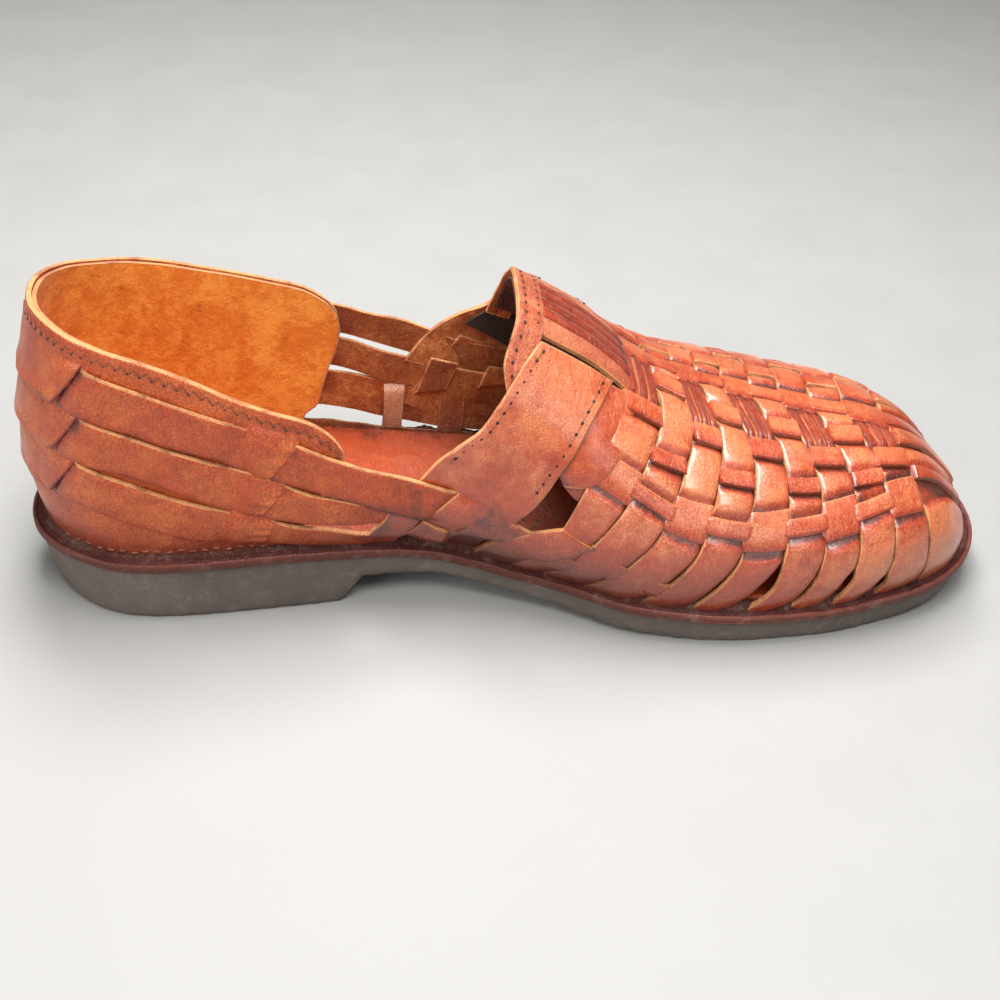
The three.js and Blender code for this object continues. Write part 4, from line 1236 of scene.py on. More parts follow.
# -------------------- the woven vamp
# Centre x of each cross strip, walked down the medial side at these girths from the crown.
STRIP_GIRTH = np.array([0, 10, 20, 30, 40, 50, 60, 70, 80, 95.0])
STRIP_CENTRES = {
    "A": [178.5, 178.5, 177.5, 174.5, 170.5, 167, 163, 159, 154, 146],
    "B": [188, 188.5, 189, 186.5, 182.5, 178.5, 173.5, 168.5, 163, 155],
    "C": [195, 195.5, 196.5, 195, 192, 189.5, 186, 180.5, 174, 165],
    "D": [201.5, 203, 204.5, 204.5, 203, 200.5, 198, 193, 187, 178],
    "E": [210, 211.5, 213.5, 214, 213, 211.5, 209.5, 205, 199, 190],
    "F": [219, 220.5, 222, 223, 223.5, 223.5, 222, 219, 212, 203],
    "G": [229, 230, 231.5, 232.5, 233, 233.5, 232.5, 229, 224, 216],
    "H": [238, 239.5, 241.5, 243.5, 244.5, 244.5, 242.5, 239.5, 235, 228],
    "I": [249, 250.5, 252, 253.5, 255, 255.5, 254.5, 252, 248, 242],
    "J": [268, 268.5, 269.5, 271, 272, 272, 271, 269, 266, 262],
}
STRIP_NAMES = "ABCDEFGHIJ"
# girths between which a strip is slit into strands
SLITS = {"A": (-16.5, 14.0), "C": (-21.0, 1.0), "E": (-23.0, -1.0), "G": (-22.5, -3.0), "I": (-18.0, -4.0)}
# how far two neighbours stand apart at the sole; below 0 they overlap
STRIP_GAPS = {"AB": -0.6, "BC": -0.6, "CD": 0.4, "DE": 0.6, "EF": 4.0, "FG": 0.8, "GH": 2.6, "HI": 2.8,
              "IJ": 4.4}
# girth of each lengthwise row at these stations; which strips it passes over; its half width at the
# strips of the first kind (B D F H J) and of the second (A C E G I)
ROW_X = np.array([160, 175, 190, 205, 221, 240, 252, 262, 270, 276, 283.0])
ROWS = {
    "outer": ([-45, -47.5, -51, -51.6, -47.8, -40.4, -33.5, -27, -19, -13, -8], "both", 2.6, 5.7),
    "fourth": ([-34, -35, -36, -37, -36, -30.8, -26, -21, -17.5, -15, -12.5], "first", 2.4, 3.0),
    "third": ([-22.5, -21.5, -23.2, -25, -25.2, -23, -20, -15.5, -11, -7, -4], "second", 3.0, 3.5),
    "second": ([-1, -3, -6.5, -14, -14.5, -13.5, -11, -6.5, -3.5, -2, 0], "first", 3.6, 3.2),
    "crown": ([11, 9.5, 6.5, 4.2, 3.0, 1.0, 0.5, 2.5, 5.5, 7.5, 9], "both", 3.2, 5.6),
    "far second": ([22, 20, 18, 17.5, 17, 16, 15, 15, 17, 18, 17], "first", 3.4, 3.2),
    "far third": ([30, 29, 28, 28.5, 28.5, 27, 25, 23.5, 23, 22, 20], "second", 3.0, 3.4),
    "far fourth": ([38, 38.5, 39.5, 40, 39, 35, 31.5, 28.5, 26.5, 24, 21], "first", 2.6, 3.0),
    "far outer": ([46, 48.5, 51.5, 52, 49.5, 43.5, 38.5, 33, 29, 25, 21], "both", 2.6, 5.7),
}


def strip_centre(name, b):
    """Centre line of a cross strip; the far side mirrors the near one and trails a little."""
    far = np.maximum(b, 0)
    return through(STRIP_GIRTH, np.array(STRIP_CENTRES[name], float), np.abs(b)) - 0.07 * far


def strip_edge(rear, fore, b):
    """Line half way between two neighbouring strips, and half of the gap between them."""
    middle = (strip_centre(rear, b) + strip_centre(fore, b)) / 2
    if fore == "J":
        middle = middle - 2.6 + 1.2 * ease(np.abs(b), 25, 50)
    gap = 0.2 + STRIP_GAPS[rear + fore] * ease(np.abs(b), 56, 70 if rear < "G" else 62) * 0.5
    return middle, gap


def strip_sides(name, b):
    """Rear and front edges of a cross strip at girth b."""
    k = STRIP_NAMES.index(name)
    if k == 0:
        rear = 2 * strip_centre("A", b) - strip_edge("A", "B", b)[0] + 0.4
    else:
        middle, gap = strip_edge(STRIP_NAMES[k - 1], name, b)
        rear = middle + gap
    if name == "J":
        fore = 281.6 - 4.4 * window(b, -25, 9.5, 4) - 0.8 * window(b, 6, 10, 10)
        fore = np.broadcast_to(fore, np.shape(b))
    else:
        middle, gap = strip_edge(name, STRIP_NAMES[k + 1], b)
        fore = middle - gap
    return rear, fore


def first_kind(name):
    """Whether a cross strip is of the first kind: every second one, from B on."""
    return STRIP_NAMES.index(name) % 2 == 1


def row_girth(row, x):
    """Girth of a lengthwise row's centre line at x."""
    return through(ROW_X, np.array(ROWS[row][0], float), x)


def passes_over(row, name):
    """Whether a row lies over a cross strip; it dives under the others."""
    kind = ROWS[row][1]
    return kind == "both" or (kind == "first") == first_kind(name)


def row_half(row, name):
    """Half of a row's width where it meets a cross strip."""
    return ROWS[row][2] if first_kind(name) else ROWS[row][3]


def strip_level(name, b, x):
    """How far a cross strip is pressed down: under every row that passes over it, bowed up between."""
    down = np.zeros(np.broadcast(b, x).shape)
    for row in ROWS:
        if passes_over(row, name):
            down = np.maximum(down, window(b, row_girth(row, x), row_half(row, name) + 0.2, 2.6))
    return down


def below_rows(name, b, x):
    """How near a place is to the lower edge of a row that passes over the strip: 1 there, fading downhill."""
    near = np.zeros(np.broadcast(b, x).shape)
    for index, row in enumerate(ROWS):
        if passes_over(row, name):
            downhill = (b - row_girth(row, x)) * (1 if index > 3 else -1)
            far = downhill - row_half(row, name)
            near = np.maximum(near, np.exp(-np.maximum(far, 0) / 3.2) * (far > -0.5))
    return near


def cross_strip(batch, name, chance):
    """One cross strip: a bowed sheet, tilted and flatter low down, sunk under its rows and along its slit."""
    reach = 97 if name < "G" else 84 if name < "J" else 62
    b = np.arange(-reach, reach + 0.5, 1.0)[:, None]
    rear, fore = strip_sides(name, b)
    keep = ((b >= -half_girth(rear, MEDIAL) - TUCK) & (b <= half_girth(rear, LATERAL) + TUCK)).ravel()
    b, rear, fore = b[keep], rear[keep], fore[keep]
    cross = shares(10.0 if name != "J" else 15.0, 0.8, 0.5)
    x = rear + (fore - rear) * cross
    level = strip_level(name, b, x)
    lower = ease(np.abs(b), 52, 72)
    edge = np.abs(2 * cross - 1) ** 3
    rise = -0.45 - 0.75 * level + (1 - level) * (0.55 * bow(cross) + 0.25) * (1 - 0.35 * lower)
    rise = rise - 0.35 * lower * edge + 0.75 * lower * (0.5 - cross)
    rise = rise + 0.10 * np.sin(b * 0.45 + STRIP_NAMES.index(name)) * np.sin(cross * 4)
    if name in SLITS:
        low, high = SLITS[name]
        rise = rise - 1.3 * window(b, (low + high) / 2, (high - low) / 2, 2.0) * window(cross, 0.5, 0.49, 0.1)
    if name == "J":
        rise = rise - 1.5 * ease(x, 279.0, 281.6)
    # painted shade under each row that passes over, at the edges, low down (less towards the toe), just below
    # each row and along the fore edge low down
    shade = 0.90 - 0.62 * level ** 0.7 - 0.15 * edge - lower * (0.42 - 0.22 * ease(x, 205, 230))
    shade = shade - 0.36 * below_rows(name, b, x) - 0.20 * ease(cross, 0.8, 1.0) * lower
    sheet(batch, over_arch, x, b, rise, strap_thick(), deep=np.clip(shade, 0, 1),
          tone=chance.uniform(-0.8, 0.8), bevel=0.32, raw=(1.0, 0.1))


def slit_strands(batch, name, chance):
    """Three thin strands over a strip's slit, dipping at its ends and under the rows; the middle one is
    proud of the others."""
    low, high = SLITS[name]
    along = np.linspace(low - 2.5, high + 2.5, 44)[:, None]
    rear, fore = strip_sides(name, along)
    sides = np.array([0, 0.08, 0.25, 0.5, 0.75, 0.92, 1.0])
    ends = 1 - window(along, (low + high) / 2, (high - low) / 2 - 1.5, 4.0)
    for k in range(3):
        x = rear + (fore - rear) * (k + 0.13 + 0.74 * sides) / 3
        level = np.maximum(ends, strip_level(name, along, x) * 0.6)
        rise = -0.35 + 0.28 * bow(sides) - 1.2 * level + 0.25 * (k == 1)
        # painted shade where a strand dips and towards its edges
        shade = 0.7 - 0.55 * level - 0.25 * (2 * sides - 1) ** 2
        sheet(batch, over_arch, x, along, rise, 1.4, deep=np.clip(shade, 0, 1),
              tone=chance.uniform(-0.7, 0.7), bevel=0.25, raw=(0.75, 0.2))


def make_cross_woven():
    """Ten cross strips over the vamp from sole to sole, five of them slit into strands at the crown."""
    strips, strands = Batch(), Batch()
    chance = np.random.default_rng(23)
    for name in STRIP_NAMES:
        cross_strip(strips, name, chance)
        if name in SLITS:
            slit_strands(strands, name, chance)
    strips.to_object("vamp_cross_strips", "strap", "upper")
    strands.to_object("vamp_slit_strands", "strand", "upper")


def row_shade(index, cross, over):
    """Dye of a lengthwise row: dark where it dives under, and along its lower edge."""
    downhill = cross if index > 4 else 1 - cross
    return 0.22 + 0.52 * over - 0.12 * downhill - 0.3 * ease(downhill, 0.75, 1.0)


def row_plates(batch, row, index, edges, chance):
    """A row cut in one with wide plates over every other strip and narrow bridges over the rest."""
    names = STRIP_NAMES if row == "crown" else STRIP_NAMES[:-1] if row == "outer" else STRIP_NAMES[:-2]
    for name in sorted(names, key=first_kind):
        narrow = first_kind(name)
        share = np.linspace(-0.16, 1.16, 26)[:, None] if narrow else np.linspace(-0.12, 1.12, 30)[:, None]
        if name == "A":
            share = np.linspace(-0.9, 1.12, 40)[:, None]
        cross = shares(2 * row_half(row, name), 0.8, 0.5)
        # x and girth depend on each other, so they are settled by turns
        b = row_girth(row, sum(strip_sides(name, float(row_girth(row, 220.0)))) / 2)
        for _ in range(4):
            rear, fore = strip_sides(name, b)
            x = rear + (fore - rear) * share
            b = row_girth(row, x) + row_half(row, name) * (2 * cross - 1)
        reach = np.clip(np.minimum(share - share[0], share[-1] - share) / 0.14, 0, 1)
        lift, dive = (-0.26, 0.3) if narrow else (-0.5, 0.7)
        rise = lift + 0.16 * bow(cross) - dive * (1 - reach)
        if narrow:
            rise = rise + 0.07 * np.sin(cross * 14 + STRIP_NAMES.index(name)) * np.abs(2 * share - 1)
        if name == "A":
            rise = rise - 1.0 * (1 - ease(share, -0.7, 0.0))
        # painted shade at both ends, where the piece dives under
        shade = row_shade(index, cross, 0.9) + (0.06 if narrow else 0.10) - 0.25 * (1 - reach)
        sheet(batch, over_arch, x, b, rise, FLAP_THICK, deep=np.clip(shade, 0, 1),
              tone=chance.uniform(-0.7, 0.7), bevel=0.26, raw=edges)


def make_rows():
    """Nine lengthwise rows woven through the cross strips: strands between, rows of plates at the outer
    edges and the crown."""
    batch = Batch()
    chance = np.random.default_rng(31)
    starts = {"outer": 160, "fourth": 161, "third": 163}
    stops = {"third": 262.5, "far third": 262.5, "far fourth": 268.0, "far second": 277.0, "fourth": 279.0}
    for index, row in enumerate(ROWS):
        # the upper long edge gets the pale raw edge, the lower one hardly any: partly a painted highlight on
        # the lit edge
        edges = (0.75, 0.05) if index > 4 else (0.05, 0.75)
        if ROWS[row][1] == "both":
            row_plates(batch, row, index, edges, chance)
            continue
        start, stop = starts.get(row, 172.0), stops.get(row, 281.4)
        x = np.arange(start, stop, 0.45)[:, None]
        centre = row_girth(row, x)
        # the row ends where the last's side does
        here = np.abs(centre) < half_girth(x, MEDIAL if index < 4 else LATERAL) - 2.0
        x, centre = x[here.ravel()], centre[here.ravel()]
        # its width is blended from strip to strip, and it is up where it passes over one
        over, wide, weight = np.zeros_like(x), np.zeros_like(x), np.full_like(x, 1e-6)
        for name in STRIP_NAMES:
            rear, fore = strip_sides(name, centre)
            middle, half = (rear + fore) / 2, (fore - rear) / 2
            share = window(x, middle, half - 0.15, 0.9)
            weight += share
            wide += share * row_half(row, name)
            if passes_over(row, name):
                over = np.maximum(over, window(x, middle, half - 0.3, 1.2))
        half = np.where(weight < 0.05, ROWS[row][3], wide / weight) * (1 - 0.25 * ease(x, 258, 268))
        cross = shares(9.0, 0.85)
        b = centre + half * (2 * cross - 1)
        rise = -1.9 + 2.3 * over + 0.2 * bow(cross)
        # both ends dive under the weave
        rise = rise - (1.2 if row in starts else 2.2) * (1 - ease(x, start, start + 6))
        rise = rise - 2.6 * ease(x, stop - 2.6, stop)
        shade = row_shade(index, cross, over)
        sheet(batch, over_arch, x, b, rise, 1.35, deep=np.clip(shade, 0, 1),
              tone=chance.uniform(-0.7, 0.7), bevel=0.28, raw=edges)
    batch.to_object("vamp_rows", "strap", "upper")


# -------------------- side bands and the lower weave
# rear and front edges (x, girth) of the side bands, then of the panel ahead of them
BAND_REAR = {
    MEDIAL: [(147.5, -18), (143.5, -25), (139.5, -33), (135, -42), (131, -49.5), (125, -57), (120, -64),
             (115.5, -72), (112, -80)],
    LATERAL: [(149, -18), (147.5, -25.5), (144.5, -37), (141.8, -45), (137.5, -51.8), (130, -58),
              (121.5, -65.5), (116, -73), (112, -80)],
}
BAND_FRONT = [(168, -18.6), (165.5, -25), (162.5, -32), (159.5, -39), (156.5, -46), (153.5, -52),
              (148, -64), (143, -72), (138, -80)]
ROOT_REAR = [(166.0, -19.5), (161, -32), (155, -46), (152.5, -52), (154.5, -56)]
ROOT_FRONT = [(176.5, -19.5), (172.5, -30), (170.5, -38), (167.0, -46), (161.5, -53.0)]


def mirrored(rows, side):
    """Rows of (x, girth) written for the medial side, turned over for the lateral one."""
    rows = np.asarray(rows, float).copy()
    rows[:, 1] *= -side
    return rows


def stitch_line(rows, side, pitch, inset):
    """Evenly pitched places along an edge curve, stepped in from it: x, b and the running direction."""
    line = curve(mirrored(rows, side), 400)
    step = np.gradient(line, axis=0)
    step /= np.linalg.norm(step, axis=1, keepdims=True)
    walked = walk(line)
    at = np.arange(pitch, walked[-1] - pitch * 0.5, pitch)
    x, b, dx, db = (np.interp(at, walked, v) for v in (*line.T, *step.T))
    return x + inset * np.abs(db), b, dx, db


def make_bands():
    """Smooth band down each side of the instep, and the short panel ahead of it where the rows begin."""
    batch = Batch()
    for side in SIDES:
        cross = shares(21.0, 0.9)
        x, b = between(mirrored(BAND_REAR[side], side), mirrored(BAND_FRONT, side), 80, cross)
        down = np.abs(b)
        # sunk low down, where the waist straps cross it
        rise = 0.15 + 0.35 * ease(down, 18, 30) - 1.2 * ease(down, 58, 67) * (1 - ease(x, 124, 132))
        rise = rise - 0.9 * ease(down, 69, 76)
        rise = rise + 0.12 * np.sin(down * 0.13 + 1) * np.sin(x * 0.21)
        groove = window(cross, 0.12, 0.004, 0.03) + window(cross, 0.88, 0.004, 0.03)
        # painted shade: darker lower down, in the two grooves and at the foot of the band
        shade = 0.74 - 0.18 * ease(down, 38, 60) - 0.12 * groove - 0.3 * ease(down, 68, 78)
        sheet(batch, over_arch, x, b, rise - 0.12 * groove, 1.7, deep=shade, tone=0.25, bevel=0.35)
        # the stitched tip that shows inside the window
        cross = shares(7.0, 0.9)
        x, b = between(mirrored([(154.0, -49.0), (153.6, -55.6), (157.0, -59.0)], side),
                       mirrored([(161.5, -49.0), (161.0, -55.0), (160.6, -60.0)], side), 24, cross)
        sheet(batch, over_arch, x, b, -1.9, 1.2, deep=0.4, tone=-0.4)
        # the panel where the rows begin
        cross = shares(11.0, 0.9)
        x, b = between(mirrored(ROOT_REAR, side), mirrored(ROOT_FRONT, side), 50, cross)
        down = np.abs(b)
        rise = -0.5 + 0.5 * np.sin(np.pi * np.clip(cross, 0, 1)) - 0.3 * ease(down, 48, 56)
        # painted shade along the rear edge and low down
        shade = 0.66 - 0.3 * (1 - ease(cross, 0.0, 0.3)) - 0.2 * ease(down, 46, 54)
        sheet(batch, over_arch, x, b, rise, 1.5, deep=shade, tone=0.0)
    batch.to_object("side_bands", "panel", "upper")


# strips of the waist (x, girth): rear edge, front edge, rise at the upper end, rise at the lower end, painted
# shading level
LOWER_STRIPS = [
    ([(129.5, -66), (127.6, -69), (122.7, -76), (116.7, -86), (112, -96)],
     [(141, -67), (135.5, -74), (131.5, -80.5), (127, -88), (122, -98)], 0.35, -1.2, 0.44),
    ([(155.0, -69.0), (150.7, -72), (145.8, -75.5), (140.9, -80), (137.3, -84), (133.5, -90), (131, -97)],
     [(164, -71), (159, -76), (154, -81.5), (149.5, -87), (145, -93), (142, -100)], 0.45, -0.5, 0.42),
]
# short plates of the low row (x, girth): upper edge, lower edge, rise, painted shading level
LOWER_PLATES = [
    ([(133.6, -74), (139.7, -74.8), (145.8, -75.2), (151, -77)],
     [(125.1, -88), (131, -86.3), (137.3, -84.5), (143, -84)], 0.25, 0.32),
    ([(115.8, -86.6), (119.5, -88.2), (124, -88.0)], [(110, -97), (117, -99), (123, -98.5)], 0.1, 0.30),
    ([(149.8, -77.0), (154.4, -78), (161.5, -79.4)], [(144.5, -88), (150, -89), (157, -88.5)], 0.15, 0.34),
    ([(163.4, -69.6), (169, -71), (175.0, -72.3)], [(158.5, -79), (164.5, -80.6), (171, -81)], 0.15, 0.42),
    ([(176.5, -71.5), (182, -72.5), (186.5, -73.0)], [(172.5, -78.5), (178, -79.6), (183, -80)], 0.1, 0.40),
]


def make_lower_weave():
    """Strips of the waist that come up from the sole behind the vamp, and the short low row over them."""
    batch = Batch()
    for side in SIDES:
        for k, (rear, fore, high, low, dye_and_shade) in enumerate(LOWER_STRIPS):
            cross = shares(9.0, 0.9, 0.6)
            x, b = between(mirrored(rear, side), mirrored(fore, side), 56, cross)
            along = np.linspace(0, 1, 56)[:, None]
            rise = low + (high - low) * (1 - ease(along, 0.4, 0.7)) + 0.25 * np.sin(np.pi * cross)
            rise = rise - (k == 0) * 1.3 * (1 - ease(along + 0.25 * cross, 0.1, 0.4))
            # painted shade towards the lower end and along the fore edge
            shade = dye_and_shade - 0.28 * ease(along, 0.35, 0.9) - 0.2 * ease(cross, 0.7, 1.0)
            sheet(batch, over_arch, x, b, rise, 1.4, deep=shade, tone=0.3 * k, raw=(1.0, 0.1))
        if side == MEDIAL:
            # a dark backing sheet low down behind the weave: painted shade seen through its gaps
            x, b = between([(108, -84), (130, -84), (150, -80), (168, -77)],
                           [(108, -109), (130, -106), (150, -100), (168, -95)], 50, shares(12.0, 2.0))
            sheet(batch, over_arch, x, b, -2.1, 1.0, deep=0.12, tone=-0.6)
        for k, (upper, lower, lift, dye_and_shade) in enumerate(LOWER_PLATES):
            cross = shares(9.0, 0.9, 0.6)
            x, b = between(mirrored(upper, side), mirrored(lower, side), 30, cross)
            along = np.linspace(0, 1, 30)[:, None]
            rise = lift - 1.1 * ease(along, 0.82, 1.0) - 0.5 * ease(cross, 0.6, 1.0)
            # painted shade along the lower edge
            shade = dye_and_shade + 0.08 * np.sin(along * 3) - 0.25 * ease(cross, 0.6, 1.0)
            sheet(batch, over_arch, x, b, rise, 1.35, deep=shade, tone=-0.2, raw=(0.7, 0.1))
    batch.to_object("lower_weave", "strap", "upper")


# -------------------- the instep
# girths that part the tab's four fluted strands
FLUTE_LINES = [-8.6, -2.7, 3.1, 8.9, 14.7]
# girth from the crown and station of the folded border's rear edge
BORDER_REAR = ([-37, -30, -20, -10, 0, 10, 20, 34, 43, 53],
               [138.4, 137.6, 139.8, 141.2, 141.6, 141.7, 141.8, 141.2, 139.7, 137.2])


def make_tab():
    """Fluted tab over the instep: four slit strands between plain side strips, under a folded border."""
    strands, plain, border, inside = Batch(), Batch(), Batch(), Batch()
    x = np.linspace(147.0, 177.5, 60)[:, None]
    droop = -3.2 * ease(x, 163, 176)
    sides = np.array([0, 0.07, 0.2, 0.35, 0.5, 0.65, 0.8, 0.93, 1.0])
    for k in range(4):
        low, high = FLUTE_LINES[k] + 0.2, FLUTE_LINES[k + 1] - 0.2
        b = low + (high - low) * sides + droop
        dome = 0.4 * bow(sides)
        rise = -0.1 + dome - 1.7 * ease(x, 172.5, 177) - 0.3 * (1 - ease(x, 147, 151))
        # painted shade towards the edges of each strand and at its front end, where it dives under
        shade = 0.62 - 0.22 * (2 * sides - 1) ** 2 - 0.4 * ease(x, 171, 176)
        sheet(strands, over_arch, x, b, rise + 0.3, 1.5, deep=shade, tone=0.15 * (-1) ** k, bevel=0.4)
    # the plain strips beside the strands, then a dark sheet under them all: painted shade seen between the
    # strands
    for inner, outer in ((-8.8, -15.6), (14.9, 20.0)):
        cross = shares(7.5, 0.9)
        b = inner + (outer - inner) * cross + droop * 0.6
        rise = 0.55 - 1.3 * ease(x, 170, 176) - 0.5 * ease(cross, 0.6, 1.0)
        # painted shade towards the front, where the strips dive under
        sheet(plain, over_arch, x, b, rise, 1.5,
              deep=0.66 - 0.25 * ease(x, 168, 175), tone=0.3)
    b = np.linspace(-16, 19, 30)
    sheet(plain, over_arch, x, b, -1.2, 0.9, deep=0.12, tone=-1.0)
    # the border stands high over the tab and lies low beside it, with a ditch for each row of holes
    b = np.linspace(-37.0, 53.0, 100)[:, None]
    rear = through(*BORDER_REAR, b)
    cross = shares(7.4, 0.9)
    at = rear + 7.3 * cross
    high = 1 - ease(np.abs(b), 14, 24)
    rise = -1.75 + 2.6 * high
    ditch = window(cross, 0.27, 0.01, 0.07) + window(cross, 0.8, 0.01, 0.07)
    # painted shade in each ditch
    sheet(border, over_arch, at, b, rise - 0.15 * ditch, 1.5,
          deep=0.62 - 0.25 * ditch, tone=0.1, bevel=0.3)
    b = np.linspace(-35.0, 48.0, 90)[:, None]
    rear = through(*BORDER_REAR, b) + 0.9
    at = rear + 30 * np.linspace(0, 1, 24)
    rise = -3.2 + 2.2 * (1 - ease(np.abs(b), 12, 24))
    sheet(inside, over_arch, at, b, rise, 1.0, deep=0.55)
    strands.to_object("tab_strands", "tab", "instep_tab")
    plain.to_object("tab_sides", "border", "instep_tab")
    border.to_object("tab_border", "border", "instep_tab")
    inside.to_object("tab_lining", "dark_lining", "instep_tab")


def make_gores():
    """Ribbed elastic between the tab and each side band."""
    for side, name in ((MEDIAL, "gore_medial"), (LATERAL, "gore_lateral")):
        batch = Batch()
        x = np.linspace(144.0 if side > 0 else 141.0, 169.5, 60)[:, None]
        inner = 13.0 + 9 * (1 - ease(x, 138, 150))
        b = side * (inner + np.linspace(0, 1, 22) * (27 - inner + 6 * (1 - ease(x, 136, 150))))
        rise = -2.6 + 0.10 * np.sin(b * 2 * np.pi / 2.2)
        sheet(batch, over_arch, x, b, rise, 1.0, deep=0.5)
        if side > 0:
            x, b = between([(144, 24), (143.5, 36), (139.0, 50), (131.0, 60.5)],
                           [(160, 24), (158, 36), (154, 52), (148.0, 66)], 40, shares(12.0, 2.0))
            sheet(batch, over_arch, x, b, -0.9, 0.8, deep=0.5)
        batch.to_object("elastic_" + name[5:], "elastic", name)


# -------------------- thread and holes
def make_stitching():
    """Zigzag along the counter's rim, punched holes by the bands and border, stitches at the welt."""
    dark, pale, holes = Batch(), Batch(), Batch()
    # zigzag under the rim, with a hole at each lower turn drawn as a dark disc of painted shade
    for side in SIDES:
        line = curve(to_wall(RIM[side], side), 500)
        walked = walk(line)
        at = np.arange(1.0, walked[-1] - 2, 1.75)
        s, z = np.interp(at, walked, line[:, 0]), np.interp(at, walked, line[:, 1])
        zig = z + np.where(np.arange(len(at)) % 2 == 0, -3.6, -2.1)
        beads(dark, round_wall, (s[:-1] + s[1:]) / 2, (zig[:-1] + zig[1:]) / 2, np.diff(s), np.diff(zig),
              2.5, 0.42, 0.26, 0.1)
        beads(holes, round_wall, s[::2], z[::2] - 3.7, 1, 0, 0.9, 0.8, 0.15, 0.05)
    for side in SIDES:
        # a punched hole, a dark disc of painted shade, and a stitch by turns along both edges of a side band
        for rows, inset in ((BAND_REAR[side], 2.4), (BAND_FRONT, -2.4)):
            x, b, dx, db = stitch_line(rows[:-2], side, 3.8, inset)
            beads(holes, over_arch, x, b, dx, db, 1.25, 0.9, 0.22, 2.12)
            beads(dark, over_arch, x + dx * 1.9, b + db * 1.9, dx, db, 2.3, 0.32, 0.1, 2.12)
    b = np.arange(-35, 33, 4.0)
    rear = through(*BORDER_REAR, b)
    high = 1 - ease(np.abs(b), 14, 24)
    # two rows of holes along the border, the second half a pitch on; each a dark disc of painted shade
    for step in (2.0, 5.8):
        shift = 2.0 if step > 3 else 0.0
        beads(holes, over_arch, rear + step, b + shift, 0, 1, 1.3, 0.9, 0.2, -0.3 + 2.6 * high)
    # stitches between the counter and the welt
    x = np.arange(14.0, 97.0, 3.3)
    for side in SIDES:
        s = girth_at(x, side)
        z = welt_height(x) + 2.4 + 0.4 * np.sin(x * 0.7)
        beads(pale, round_wall, s, z, 1, 0.12 * np.sin(x), 2.1, 0.55, 0.4, 0.15)
    # perforations of the insole at the waist: station, distance from the edge
    spots = np.array([(144, 6), (148, 2), (151, 6.5), (146.5, 10), (150, 12), (154, 9), (143, 13), (153, 3.5),
                      (157, 5.5), (147, 15), (156, 12.5), (151.5, 16.0)])
    on_board = lambda x, y, rise: joined(x, y, welt_height(x) + GLUE_LINE + INSOLE_THICK + rise)
    for side in SIDES:
        x = spots[:, 0]
        y = plan_edge(x, side, FEATHER + 5.0) - side * spots[:, 1]
        beads(holes, on_board, x, y, 1, 0, 1.7, 1.6, 0.25, 0.0)
        # a pale disc beside each dark hole: a painted glint on its rim
        beads(pale, on_board, x + 0.5, y - 0.3, 1, 0, 0.9, 0.7, 0.25, 0.12)
    dark.to_object("rim_zigzag", "thread", "upper", sharp=60)
    pale.to_object("welt_stitches_and_glints", "pale_thread_and_glint", "midsole", sharp=60)
    holes.to_object("painted_hole_shades", "hole", "upper", sharp=60)


# -------------------- stage
# name, place, aim, size, share of the key light's power, tint
LAMPS = [
    ("sheen_softbox", (0.10, -0.42, 0.78), (0.05, 0.0, 0.03), 0.42, 0.45, (1.0, 0.98, 0.96)),
    ("overhead_softbox", (0.03, 0.02, 0.80), (0.02, 0.0, 0.03), 0.42, 0.75, (1.0, 0.985, 0.96)),
    ("heel_fill", (-0.75, -0.55, 0.42), (-0.03, 0.0, 0.05), 0.6, 0.5, (1.0, 0.97, 0.94)),
    ("front_fill", (0.35, -1.0, 0.45), (0.03, 0.0, 0.03), 0.6, 0.17, (1.0, 0.98, 0.96)),
    ("inside_light", (-0.10, 0.30, 0.70), (-0.04, 0.0, 0.04), 0.3, 0.46, (1.0, 0.98, 0.95)),
]
# the camera's three angles in degrees, the point it is aimed at, how far off it stands and its lens
CAMERA_TURN, CAMERA_TILT, CAMERA_ROLL = 5.776, 33.854, 2.569
CAMERA_AIM = (140.0, 0.0, 35.0)
CAMERA_DISTANCE = 0.46785
CAMERA_LENS = 55.63
CAMERA_SHIFT = -0.0511


